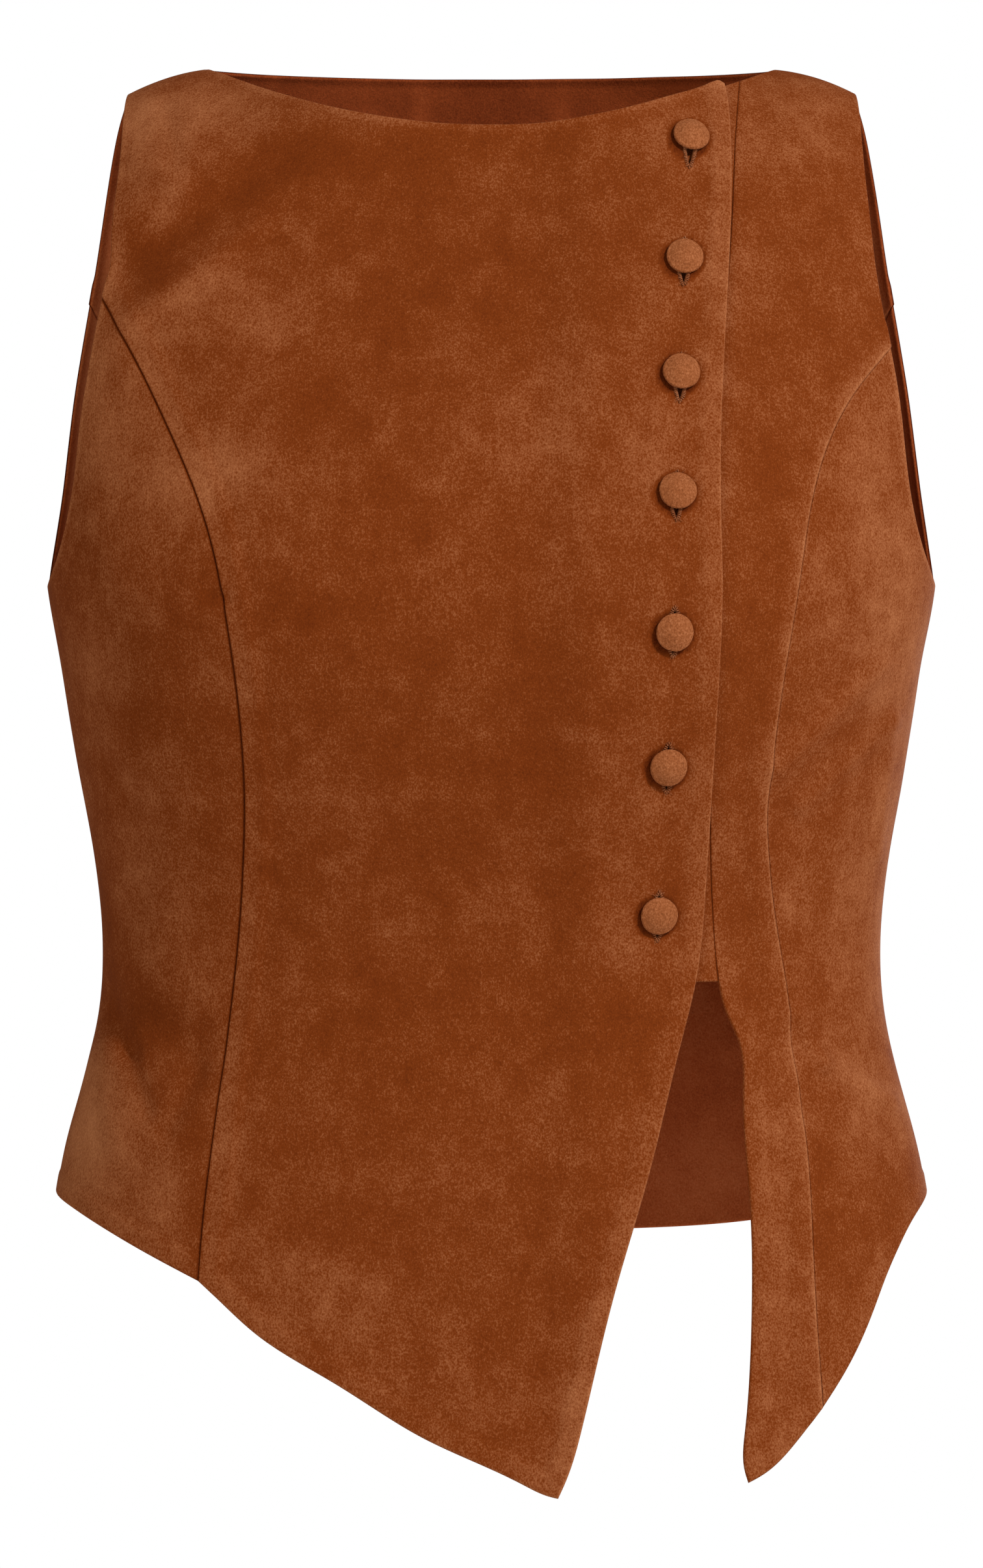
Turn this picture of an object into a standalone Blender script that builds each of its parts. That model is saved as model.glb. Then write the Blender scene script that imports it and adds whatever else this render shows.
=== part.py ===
"""Sleeveless suede waistcoat, filled out and hollow: cut panels sewn edge to edge, with covered buttons.

Lengths are in millimetres on the real garment and become metres when a mesh is made. The front faces -Y,
+Z is up, and the origin lies midway between the two shoulder seams, where the garment is held.
Right and left are the wearer's.
"""
import math

import bmesh
import bpy
import numpy as np
from mathutils import Matrix, Vector

MILLIMETRE = 0.001
COLLECTION = "suede_waistcoat"

# Cloth and gaps
WALL = 1.6                      # suede thickness
SEAM_TRIM = 0.2                 # each panel stops this far short of its seam lines
LAYER_GAP = 0.7                 # air between the overlapping front and the button stand below it
OVERLAP_LIFT = WALL + LAYER_GAP
OVERLAP_RAMP = (14.0, 40.0)     # width over which the overlapping front rises off the form

# The hollow form that the garment keeps: one flat ring for each height
SECTIONS = (
    # height, half width, front depth, back depth, front squareness, back squareness
    (10.0, 156.0, 50.0, 44.0, 2.60, 2.90),
    (-25.0, 161.5, 59.0, 55.0, 2.60, 3.00),
    (-60.0, 166.0, 73.0, 69.0, 2.60, 3.00),
    (-115.0, 171.0, 94.0, 87.0, 2.55, 2.90),
    (-160.0, 171.6, 107.0, 93.0, 2.50, 2.70),
    (-194.0, 170.4, 112.5, 92.0, 2.45, 2.55),
    (-225.0, 164.7, 112.0, 87.7, 2.40, 2.44),
    (-254.0, 160.1, 107.5, 82.0, 2.35, 2.35),
    (-314.0, 150.4, 93.5, 71.0, 2.25, 2.25),
    (-344.0, 149.6, 90.0, 70.0, 2.25, 2.25),
    (-364.0, 152.1, 90.0, 73.0, 2.25, 2.25),
    (-404.0, 162.4, 93.0, 82.0, 2.30, 2.30),
    (-427.0, 167.0, 95.0, 87.0, 2.35, 2.35),
    (-480.0, 172.0, 98.0, 95.0, 2.40, 2.40),
    (-545.0, 175.0, 100.0, 100.0, 2.40, 2.40),
)
SIDE_FADE = 0.25                # fullness and folds die out where the front turns to the side
BUST = {"out": 4.0, "width": 80.0, "height": -200.0, "wide": 45.0, "tall": 50.0}

# Shoulder ridge, where front and back meet
SHOULDER_DEPTH = 4.0            # the ridge lies this far behind the side seams
SHOULDER_ROUND = 60.0           # drop over which the ridge rounds off into the body
NECK_END = 108.9                # half width at the neck end of the shoulder seam
SHOULDER_TIP = 140.4            # half width at the armhole end
NECK_END_HEIGHT = 4.9
SHOULDER_SLOPE = 0.0966
SHOULDER_FALL = 0.00662         # how fast the slope steepens towards the tip
NECK_RISE = 26.0                # how far the form would climb inside the neck opening

# Largest soft folds of the front: ridges have a rise above zero, troughs below
FOLDS = (
    # start width, start height, end width, end height, half width, rise
    (-138.0, -74.0, -92.0, -34.0, 13.0, -2.6),
    (-138.0, -104.0, -106.0, -86.0, 15.0, 1.6),
    (-148.0, -352.0, -118.0, -372.0, 12.0, -2.0),
    (114.0, -282.0, 150.0, -249.0, 12.0, -1.6),
    (119.0, -367.0, 152.0, -391.0, 12.0, -1.8),
)

# Pattern lines as (width, height) seen from the front, right side of the garment below zero.
# SIDE is wider than the form at any height, so it means the side seam.
SIDE = 999.0
UNDERARM = -194.0
SIDE_HEM = -425.5
FRONT_ARMHOLE = (
    (SHOULDER_TIP, -4.7), (141.0, -15.0), (142.3, -42.0), (144.0, -63.0), (146.2, -83.0),
    (150.0, -103.0), (153.9, -126.0), (157.0, -153.0), (162.6, -179.0), (168.0, -191.0), (SIDE, UNDERARM),
)
BACK_ARMHOLE = (
    (SHOULDER_TIP, -4.7), (145.0, -17.0), (151.8, -50.0), (158.8, -91.0), (164.7, -131.0),
    (169.1, -172.0), (170.6, -189.0), (SIDE, UNDERARM),
)
NECKLINE = {"bottom": -21.8, "power": 2.1}
BACK_NECK_HEIGHT = 5.3
BACK_HEM = ((0.0, -448.0), (56.0, -446.4), (102.0, -442.6), (140.0, -434.5), (SIDE, SIDE_HEM))

RIGHT_SEAM_TOP = -86.7          # height where the shaped front seam leaves the right armhole
LEFT_SEAM_TOP = -105.7
BACK_SEAM_TOP = -82.9
RIGHT_FRONT_SEAM = (
    (-138.8, -101.0), (-128.6, -120.5), (-112.5, -155.3), (-102.2, -187.0), (-95.1, -229.0),
    (-91.8, -272.0), (-93.5, -317.0), (-99.0, -366.0), (-104.2, -403.0), (-109.4, -455.2),
)
LEFT_FRONT_SEAM = (
    (136.1, -123.4), (120.4, -159.5), (114.0, -196.0), (107.2, -241.0), (103.1, -277.0),
    (105.6, -314.0), (111.0, -348.0), (115.6, -385.0), (120.7, -453.0), (123.8, -502.7),
)
BACK_SEAM = (
    (146.5, -104.0), (125.0, -150.0), (113.0, -195.0), (106.5, -255.0), (104.5, -320.0),
    (106.5, -370.0), (111.0, -441.0),
)
RIGHT_CORNER = (88.0, -6.0)     # rounded neck corner of the overlapping front
CORNER_ROUND = 2.6
CORNER_RISE = 1.5               # the corner stands up a little above the neckline
CORNER_RAMP = (30.0, 80.0)      # width over which it rises
RIGHT_TIP = (24.6, -534.3)
CLOSURE_EDGE = (
    (88.8, -10.5), (89.9, -30.0), (88.8, -70.0), (85.3, -126.0), (84.6, -186.0), (83.0, -241.0),
    (79.9, -295.0), (75.7, -343.5), (69.6, -368.6), (57.8, -416.6), (45.2, -459.7), (33.6, -507.6),
    (27.6, -527.6),
)
RIGHT_HEM = (
    (-102.7, -461.2), (-87.5, -474.5), (-57.4, -492.6), (-26.2, -511.6), (10.9, -528.8), (21.2, -533.5),
)
RIGHT_SIDE_HEM = ((-159.4, -430.3), (-133.6, -443.5))
STAND_TOP = (94.5, -2.6)        # where the button stand's seam meets the neckline
STAND_FOOT = (84.9, -343.8)
STAND_SEAM = ((92.2, -24.8), (89.8, -62.0), (84.4, -126.0), (83.4, -196.0), (81.2, -283.0), (82.4, -317.0))
STAND_WIDTH = 43.0
FREE_EDGE = (
    (87.5, -354.5), (92.4, -366.0), (94.0, -388.0), (96.3, -425.0), (96.8, -473.0), (94.4, -510.0),
    (94.0, -524.0),
)
LEFT_TIP = (95.6, -529.6)
LEFT_HEM = ((101.5, -526.5), (114.2, -514.5))
LEFT_SIDE_HEM = ((138.4, -479.1), (150.1, -452.5), (159.5, -435.5))

# Buttons and buttonholes
BUTTONS = (
    # width, height, how far the buttonhole's middle lies below the button's
    (74.5, -27.7, 2.6),
    (71.7, -74.5, 1.4),
    (69.9, -118.2, 1.8),
    (68.2, -162.8, 1.5),
    (66.9, -213.9, 0.0),
    (64.7, -263.0, 0.6),
    (61.5, -318.4, 0.4),
)
BUTTON_RADIUS = 7.0
BUTTON_HEIGHT = 3.8
BUTTON_CROWN = 1.1              # rise of the domed face above its rim
SHANK_RADIUS = 0.9
CLEARANCE = 0.5                 # air between a button and the cloth
HOLE_LENGTH = 18.5
HOLE_WIDTH = 2.4
BUTTON_SIDES = 24

# Grid steps along each kind of line
STEPS = {"seam": 20, "front armhole": 9, "back armhole": 8, "shoulder": 4, "neck": 17, "side hem": 7,
         "left hem": 4, "stand": 4, "stand seam": 19, "free edge": 10, "back neck": 12}
TRACE_POINTS = 240
WIDTH_ROUNDS = 4                # tries at a width on the form with its folds
SHARP_ANGLE = math.radians(45)

SUEDE = {"colour": (0.19, 0.045, 0.010, 1.0), "roughness": 0.92}
COVERED_BUTTON = {"colour": (0.30, 0.095, 0.034, 1.0), "roughness": 0.85}


def spline(knots, values):
    """Natural cubic curve through values at rising knots, as a function."""
    knots = np.asarray(knots, float)
    values = np.asarray(values, float)
    gaps = np.diff(knots)
    slopes = np.diff(values, axis=0) / gaps.reshape((-1,) + (1,) * (values.ndim - 1))
    system = np.eye(len(knots))
    right = np.zeros_like(values)
    for i in range(1, len(knots) - 1):
        system[i, i - 1:i + 2] = gaps[i - 1], 2 * (gaps[i - 1] + gaps[i]), gaps[i]
        right[i] = 3 * (slopes[i] - slopes[i - 1])
    bend = np.linalg.solve(system, right)

    def curve(at):
        at = np.asarray(at, float)
        i = np.clip(np.searchsorted(knots, at) - 1, 0, len(knots) - 2)
        spread = at.shape + (1,) * (values.ndim - 1)
        gap = gaps[i].reshape(spread)
        along = (at - knots[i]).reshape(spread)
        lean = slopes[i] - gap * (2 * bend[i] + bend[i + 1]) / 3
        twist = (bend[i + 1] - bend[i]) / (3 * gap)
        return values[i] + along * (lean + along * (bend[i] + along * twist))

    return curve


section_at = spline([row[0] for row in reversed(SECTIONS)], [row[1:] for row in reversed(SECTIONS)])


def shoulder_height(width):
    """Height of the shoulder ridge at a width from the middle."""
    past = np.maximum(np.abs(width) - NECK_END, 0.0)
    inside = np.maximum(1 - (width / NECK_END) ** 2, 0.0)
    climb = inside * (SHOULDER_SLOPE * NECK_END / 2 + NECK_RISE * inside)
    return NECK_END_HEIGHT - past * (SHOULDER_SLOPE + SHOULDER_FALL * past) + climb


def eased(share):
    """Smooth step from 0 to 1."""
    share = np.clip(share, 0, 1)
    return share ** 2 * (3 - 2 * share)


def fold_rise(width, height):
    """Outward rise of all the folds at points of the front."""
    rise = np.zeros_like(width)
    for start_w, start_h, end_w, end_h, half_width, peak in FOLDS:
        run = np.array([end_w - start_w, end_h - start_h])
        share = ((width - start_w) * run[0] + (height - start_h) * run[1]) / (run @ run)
        share = np.clip(share, 0.0, 1.0)
        away = np.hypot(width - start_w - share * run[0], height - start_h - share * run[1])
        rise += peak * np.exp(-(away / half_width) ** 2)
    return rise


def on_form(path):
    """Points of the form at rows of (angle round from the front centre, height)."""
    angle = path[..., 0]
    height = path[..., 1]
    half, front, back, front_square, back_square = np.moveaxis(section_at(height), -1, 0)
    ahead = np.cos(angle) > 0
    depth = np.where(ahead, front, back)
    square = np.where(ahead, front_square, back_square)
    ring = (np.abs(np.sin(angle)) / half) ** square + (np.abs(np.cos(angle)) / depth) ** square
    reach = ring ** (-1 / square)
    x = reach * np.sin(angle)
    bust = BUST["out"] * np.exp(-((np.abs(x) - BUST["width"]) / BUST["wide"]) ** 2
                                - ((height - BUST["height"]) / BUST["tall"]) ** 2)
    reach = reach + eased(np.cos(angle) / SIDE_FADE) * (bust + fold_rise(x, height))
    x = reach * np.sin(angle)
    y = -reach * np.cos(angle)
    short = np.clip(1 - (shoulder_height(x) - height) / SHOULDER_ROUND, 0, 1)
    y = SHOULDER_DEPTH + (y - SHOULDER_DEPTH) * np.sqrt(1 - short ** 2)
    return np.stack([x, y, height], axis=-1)


def unit(vectors):
    return vectors / np.linalg.norm(vectors, axis=-1, keepdims=True)


def outward(path):
    """Unit normals of the form, pointing out of the garment, taken just below the shoulder ridge."""
    turn = np.array([1e-5, 0.0])
    fall = np.array([0.0, 0.01])
    across = on_form(path + turn - fall) - on_form(path - turn - fall)
    up = on_form(path - fall) - on_form(path - 2 * fall)
    return unit(np.cross(across, up))


def ring_angle(width, height, behind):
    """Angle of a point of the ring at a height, before any fullness or fold."""
    half, front, back, front_square, back_square = section_at(height)
    depth, square = (back, back_square) if behind else (front, front_square)
    share = min(abs(width) / half, 1.0)
    angle = math.atan2(share * half, depth * (1 - share ** square) ** (1 / square))
    if behind:
        angle = math.pi - angle
    return math.copysign(angle, width)


def angle_at(width, height, behind=False):
    """Angle round the form of a point given by its width and height."""
    aim = width
    for _ in range(WIDTH_ROUNDS):
        found = on_form(np.array([ring_angle(aim, height, behind), height]))
        aim += width - found[0]
    return ring_angle(aim, height, behind)


def path_through(widths, heights, behind=False):
    """Path of (angle, height) points at the given widths and heights."""
    return np.array([(angle_at(width, height, behind), height) for width, height in zip(widths, heights)])


def traced(knots, behind=False):
    """Smooth path of (angle, height) points through (width, height) knots."""
    path = path_through(*zip(*knots), behind)
    chords = np.linalg.norm(np.diff(on_form(path), axis=0), axis=1)
    marks = np.concatenate([[0.0], np.cumsum(chords)])
    return spline(marks, path)(np.linspace(0.0, marks[-1], TRACE_POINTS))


def spaced(path, steps):
    """The same path at equal steps of true length."""
    lengths = np.linalg.norm(np.diff(on_form(path), axis=0), axis=1)
    marks = np.concatenate([[0.0], np.cumsum(lengths)])
    places = np.linspace(0.0, marks[-1], steps + 1)
    return np.stack([np.interp(places, marks, path[:, k]) for k in (0, 1)], axis=-1)


def split(path, height):
    """The parts of a falling path above and below a height."""
    cut = int(np.argmin(path[:, 1] > height))
    share = (path[cut - 1, 1] - height) / (path[cut - 1, 1] - path[cut, 1])
    joint = path[cut - 1] + share * (path[cut] - path[cut - 1])
    return np.vstack([path[:cut], joint]), np.vstack([joint, path[cut:]])


def joined(first, second):
    return np.vstack([first, second[1:]])


def mirrored(path):
    """The same path on the other side of the garment."""
    return path * np.array([-1.0, 1.0])


def patch(bottom, top, left, right):
    """Grid of (angle, height) points that fills four edges, rows rising and columns turning left."""
    across = np.linspace(0, 1, len(bottom))[None, :, None]
    up = np.linspace(0, 1, len(left))[:, None, None]
    sides = (1 - across) * left[:, None] + across * right[:, None]
    ends = (1 - up) * bottom[None] + up * top[None]
    corners = ((1 - across) * ((1 - up) * bottom[0] + up * top[0])
               + across * ((1 - up) * bottom[-1] + up * top[-1]))
    return sides + ends - corners


def trimmed(points):
    """The grid with every border drawn in, so that neighbours stand apart at a seam."""
    result = points.copy()
    borders = ((np.s_[0], np.s_[1]), (np.s_[-1], np.s_[-2]), (np.s_[:, 0], np.s_[:, 1]),
               (np.s_[:, -1], np.s_[:, -2]))
    for border, inner in borders:
        along = unit(np.gradient(points[border], axis=0))
        inward = points[inner] - points[border]
        inward = inward - np.sum(inward * along, axis=-1, keepdims=True) * along
        result[border] += SEAM_TRIM * unit(inward)
    return result


def overlap_lift(width):
    """How far the overlapping front stands off the form at a width."""
    start, end = OVERLAP_RAMP
    return OVERLAP_LIFT * eased((width - start) / (end - start))


def neckline_path(start, end, corner_rise=0.0):
    """Front neckline between two widths, closer points towards the shoulder seams."""
    turns = np.arcsin(np.array([start, end]) / NECK_END)
    widths = NECK_END * np.sin(np.linspace(*turns, TRACE_POINTS))
    climb = NECK_END_HEIGHT - NECKLINE["bottom"]
    heights = NECKLINE["bottom"] + climb * (np.abs(widths) / NECK_END) ** NECKLINE["power"]
    rise_start, rise_end = CORNER_RAMP
    heights += corner_rise * eased((widths - rise_start) / (rise_end - rise_start))
    return path_through(widths, heights)


def shoulder_path(behind=False):
    """Left shoulder seam from the neck end to the tip."""
    widths = np.linspace(NECK_END, SHOULDER_TIP, STEPS["shoulder"] + 1)
    return path_through(widths, shoulder_height(widths), behind)


def material(name, finish):
    made = bpy.data.materials.new(name)
    made.use_nodes = True
    shader = made.node_tree.nodes["Principled BSDF"]
    shader.inputs["Base Color"].default_value = finish["colour"]
    shader.inputs["Roughness"].default_value = finish["roughness"]
    shader.inputs["Metallic"].default_value = 0.0
    made.diffuse_color = finish["colour"]
    return made


def add_object(name, mesh_source, collection, finish=None):
    """New object in a collection from a bmesh, which is freed."""
    mesh = bpy.data.meshes.new(name)
    mesh_source.to_mesh(mesh)
    mesh_source.free()
    made = bpy.data.objects.new(name, mesh)
    collection.objects.link(made)
    if finish:
        mesh.materials.append(material(name + "_suede", finish))
        mesh.shade_smooth()
        mesh.set_sharp_from_angle(angle=SHARP_ANGLE)
    return made


def add_panel(name, edges, collection, lifted=False):
    """Cloth panel: a grid on the form, extruded inwards by the suede's thickness."""
    path = patch(*edges)
    out = outward(path)
    points = on_form(path)
    if lifted:
        points = points + overlap_lift(points[..., :1]) * out
    outer = trimmed(points)
    inner = (outer - WALL * out).reshape(-1, 3) * MILLIMETRE
    outer = outer.reshape(-1, 3) * MILLIMETRE
    source = bmesh.new()
    bmesh.ops.create_grid(source, x_segments=path.shape[1] - 1, y_segments=path.shape[0] - 1, size=1.0)
    place = source.verts.layers.int.new("place")
    for number, vertex in enumerate(source.verts):
        vertex.co = outer[number]
        vertex[place] = number
    wall = bmesh.ops.extrude_face_region(source, geom=source.faces[:], use_keep_orig=True)
    for element in wall["geom"]:
        if isinstance(element, bmesh.types.BMVert):
            element.co = inner[element[place]]
    bmesh.ops.recalc_face_normals(source, faces=source.faces)
    return add_object(name, source, collection, SUEDE)


def button_frame(width, height, drop=0.0):
    """Place on the overlapping front, Z out of the cloth and Y up along the closure, in metres."""
    path = np.array([angle_at(width, height), height])
    point = on_form(path)
    out = outward(path)
    point = point + overlap_lift(point[0]) * out
    normal = Vector(out)
    closure = Vector((BUTTONS[0][0] - BUTTONS[-1][0], 0.0, BUTTONS[0][1] - BUTTONS[-1][1]))
    side = closure.cross(normal).normalized()
    up = normal.cross(side)
    turn = Matrix((side, up, normal)).transposed().to_4x4()
    place = Vector(point) - up * drop
    return Matrix.Translation(place * MILLIMETRE) @ turn


def add_button(name, width, height, collection):
    """Covered button turned about its shank, which ends just above the button stand."""
    rim = BUTTON_HEIGHT - BUTTON_CROWN
    foot = CLEARANCE - OVERLAP_LIFT
    profile = (
        (0.0, CLEARANCE + BUTTON_HEIGHT),
        (0.55 * BUTTON_RADIUS, CLEARANCE + BUTTON_HEIGHT - 0.3 * BUTTON_CROWN),
        (0.86 * BUTTON_RADIUS, CLEARANCE + rim),
        (BUTTON_RADIUS, CLEARANCE + 0.55 * rim),
        (0.93 * BUTTON_RADIUS, CLEARANCE + 0.15 * rim),
        (0.75 * BUTTON_RADIUS, CLEARANCE),
        (SHANK_RADIUS, CLEARANCE),
        (SHANK_RADIUS, foot),
        (0.0, foot),
    )
    source = bmesh.new()
    ring = [source.verts.new(Vector((radius, 0.0, level)) * MILLIMETRE) for radius, level in profile]
    for upper, lower in zip(ring, ring[1:]):
        source.edges.new((upper, lower))
    button = add_object(name, source, collection, COVERED_BUTTON)
    button.matrix_world = button_frame(width, height)
    turned = button.modifiers.new("turned", "SCREW")
    turned.steps = BUTTON_SIDES
    turned.render_steps = BUTTON_SIDES
    turned.use_merge_vertices = True
    turned.merge_threshold = 0.00001
    return button


def add_hole_cutter(collection):
    """One cutter with a slot block for each buttonhole."""
    depth = 3 * OVERLAP_LIFT
    source = bmesh.new()
    for width, height, drop in BUTTONS:
        size = Matrix.Diagonal(Vector((HOLE_WIDTH, HOLE_LENGTH, depth, 1 / MILLIMETRE)) * MILLIMETRE)
        bmesh.ops.create_cube(source, size=1.0, matrix=button_frame(width, height, drop) @ size)
    cutter = add_object("buttonhole_cutter", source, collection)
    cutter.hide_render = True
    cutter.display_type = "WIRE"
    return cutter


def front_lines():
    """Shared seam paths of the two fronts, each from its lower end upwards."""
    lines = {}
    right_armhole = tuple((-width, height) for width, height in FRONT_ARMHOLE)
    sides = (
        ("right", traced(right_armhole), RIGHT_FRONT_SEAM, RIGHT_SEAM_TOP),
        ("left", traced(FRONT_ARMHOLE), LEFT_FRONT_SEAM, LEFT_SEAM_TOP),
    )
    for side, armhole, seam, top in sides:
        upper, lower = split(armhole, top)
        joint = on_form(upper[-1])
        fall = traced(((joint[0], joint[2]),) + seam)
        fall[0] = upper[-1]
        lines[side + " seam"] = spaced(fall[::-1], STEPS["seam"])
        lines[side + " upper armhole"] = spaced(upper[::-1], STEPS["front armhole"])
        lines[side + " lower armhole"] = spaced(lower[::-1], STEPS["side hem"])
    stand_seam = traced((STAND_FOOT,) + STAND_SEAM[::-1] + (STAND_TOP,))
    lines["stand seam"] = spaced(stand_seam, STEPS["stand seam"])
    return lines


def side_seam(angle):
    """Straight side seam from the hem to the underarm."""
    heights = np.linspace(SIDE_HEM, UNDERARM, TRACE_POINTS)
    return spaced(np.stack([np.full_like(heights, angle), heights], axis=-1), STEPS["seam"])


def add_right_front(lines, collection):
    """Right front, which laps over to the left, and its side panel."""
    seam = lines["right seam"]
    seam_foot = RIGHT_FRONT_SEAM[-1]
    neck = neckline_path(-NECK_END, RIGHT_CORNER[0] - CORNER_ROUND, CORNER_RISE)
    neck = np.vstack([neck, path_through(*zip(RIGHT_CORNER))])
    top = joined(mirrored(shoulder_path())[::-1], spaced(neck, STEPS["neck"]))
    side = joined(seam, lines["right upper armhole"])
    closure = spaced(traced((RIGHT_TIP,) + CLOSURE_EDGE[::-1] + (RIGHT_CORNER,)), len(side) - 1)
    hem = spaced(traced((seam_foot,) + RIGHT_HEM + (RIGHT_TIP,)), len(top) - 1)
    front = add_panel("right_front", (hem, top, side, closure), collection, lifted=True)

    hem = spaced(traced(((-SIDE, SIDE_HEM),) + RIGHT_SIDE_HEM + (seam_foot,)), STEPS["side hem"])
    edges = (hem, lines["right lower armhole"], side_seam(-math.pi / 2), seam)
    add_panel("right_front_side", edges, collection)
    return front


def add_left_front(lines, collection):
    """Left front from the button stand's seam outwards, and its side panel."""
    seam = lines["left seam"]
    seam_foot = LEFT_FRONT_SEAM[-1]
    neck = spaced(neckline_path(STAND_TOP[0], NECK_END), STEPS["left hem"])
    neck[0] = lines["stand seam"][-1]
    top = joined(neck, shoulder_path())
    free_edge = spaced(traced((LEFT_TIP,) + FREE_EDGE[::-1] + (STAND_FOOT,)), STEPS["free edge"])
    inner_side = joined(free_edge, lines["stand seam"])
    outer_side = joined(seam, lines["left upper armhole"])
    hem = spaced(traced((LEFT_TIP,) + LEFT_HEM + (seam_foot,)), len(top) - 1)
    add_panel("left_front", (hem, top, inner_side, outer_side), collection)

    hem = spaced(traced((seam_foot,) + LEFT_SIDE_HEM + ((SIDE, SIDE_HEM),)), STEPS["side hem"])
    edges = (hem, lines["left lower armhole"][::-1], seam, side_seam(math.pi / 2))
    add_panel("left_front_side", edges, collection)


def add_button_stand(lines, collection):
    """Strip under the overlapping front that the buttons are sewn to."""
    seam = lines["stand seam"]
    widths = on_form(seam)[:, 0] - STAND_WIDTH
    top = spaced(neckline_path(widths[-1], STAND_TOP[0]), STEPS["stand"])
    top[-1] = seam[-1]
    heights = seam[:, 1] - np.linspace(0, seam[-1, 1] - top[0, 1], len(seam))
    hidden = path_through(widths, heights)
    hidden[-1] = top[0]
    foot = spaced(np.linspace(hidden[0], seam[0], TRACE_POINTS), STEPS["stand"])
    add_panel("button_stand", (foot, top, hidden, seam), collection)


def add_back(collection):
    """Back centre and a side panel for each hand."""
    armhole = traced(BACK_ARMHOLE, behind=True)
    upper, lower = split(armhole, BACK_SEAM_TOP)
    joint = on_form(upper[-1])
    fall = traced(((joint[0], joint[2]),) + BACK_SEAM, behind=True)
    fall[0] = upper[-1]
    seam = spaced(fall[::-1], STEPS["seam"])
    upper = spaced(upper[::-1], STEPS["back armhole"])
    lower = spaced(lower[::-1], STEPS["side hem"])
    shoulder = shoulder_path(behind=True)
    across = STEPS["back neck"] + 2 * STEPS["shoulder"]
    whole_turn = np.array([2 * math.pi, 0.0])

    def other(path):
        return whole_turn + mirrored(path)

    hem = traced(BACK_HEM, behind=True)[::-1]
    split_at = int(np.argmin(np.abs(hem[:, 0] - seam[0, 0])))
    hem[split_at] = seam[0]
    side_hem = spaced(hem[:split_at + 1], STEPS["side hem"])
    middle_hem = hem[split_at:]
    middle_hem = spaced(joined(middle_hem, other(middle_hem)[::-1]), across)
    widths = NECK_END * np.cos(np.linspace(0, math.pi, TRACE_POINTS))
    heights = BACK_NECK_HEIGHT - (BACK_NECK_HEIGHT - NECK_END_HEIGHT) * (widths / NECK_END) ** 2
    neck = path_through(widths, heights, behind=True)
    neck[:, 0] %= 2 * math.pi
    neck[0] = shoulder[0]
    neck[-1] = other(shoulder[0])
    neck = spaced(neck, STEPS["back neck"])
    top = joined(joined(shoulder[::-1], neck), other(shoulder))
    left_side = joined(seam, upper)
    add_panel("back_centre", (middle_hem, top, left_side, other(left_side)), collection)
    add_panel("back_side_left", (side_hem, lower, side_seam(math.pi / 2), seam), collection)
    add_panel("back_side_right", (other(side_hem)[::-1], other(lower)[::-1], other(seam),
                                  side_seam(1.5 * math.pi)), collection)


def main():
    for old in list(bpy.data.objects):
        bpy.data.objects.remove(old, do_unlink=True)
    garment = bpy.data.collections.new(COLLECTION)
    cutters = bpy.data.collections.new("cutters")
    for collection in (garment, cutters):
        bpy.context.scene.collection.children.link(collection)
    lines = front_lines()
    front = add_right_front(lines, garment)
    add_left_front(lines, garment)
    add_button_stand(lines, garment)
    add_back(garment)
    holes = front.modifiers.new("buttonholes", "BOOLEAN")
    holes.operation = "DIFFERENCE"
    holes.solver = "EXACT"
    holes.object = add_hole_cutter(cutters)
    for number, (width, height, _) in enumerate(BUTTONS, start=1):
        add_button(f"button_{number}", width, height, garment)


main()
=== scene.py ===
"""Looks of the suede vest: cut panels with pressed edges, sewn seams and a brushed nap, and covered buttons.

Lengths are in millimetres on the real garment and become metres when a mesh is made. The front faces -Y,
+Z is up and the origin lies midway between the two shoulder seams. Right and left are the wearer's.
"""
import math
from collections import namedtuple

import bpy
import numpy as np
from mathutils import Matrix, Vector
from mathutils.kdtree import KDTree


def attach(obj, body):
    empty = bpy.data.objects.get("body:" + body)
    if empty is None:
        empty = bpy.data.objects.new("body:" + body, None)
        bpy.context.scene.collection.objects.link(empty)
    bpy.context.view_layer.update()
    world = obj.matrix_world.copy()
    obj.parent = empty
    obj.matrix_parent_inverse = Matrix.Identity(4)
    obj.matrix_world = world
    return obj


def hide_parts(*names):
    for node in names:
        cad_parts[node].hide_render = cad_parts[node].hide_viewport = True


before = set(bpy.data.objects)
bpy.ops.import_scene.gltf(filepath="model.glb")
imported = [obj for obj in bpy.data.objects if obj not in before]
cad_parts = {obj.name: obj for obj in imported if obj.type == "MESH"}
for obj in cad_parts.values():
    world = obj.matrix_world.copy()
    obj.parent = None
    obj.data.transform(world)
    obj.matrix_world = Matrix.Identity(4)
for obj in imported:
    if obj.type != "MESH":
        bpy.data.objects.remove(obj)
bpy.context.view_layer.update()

MILLIMETRE = 0.001
BODY = "root"

# Camera at the photograph's viewing angle
IMAGE_HEIGHT = 2411  # in pixels
PIXEL = 0.25  # size of a pixel at the side seams
VIEW_DISTANCE = 2600
VIEW_HEIGHT = -270
SENSOR = 36

# Cloth and gaps
WALL = 1.6  # suede thickness
LAYER_GAP = 0.7  # air between the overlapping front and the button stand below it
OVERLAP_LIFT = WALL + LAYER_GAP
OVERLAP_RAMP = (14, 40)  # width over which the overlapping front rises off the form

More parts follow.
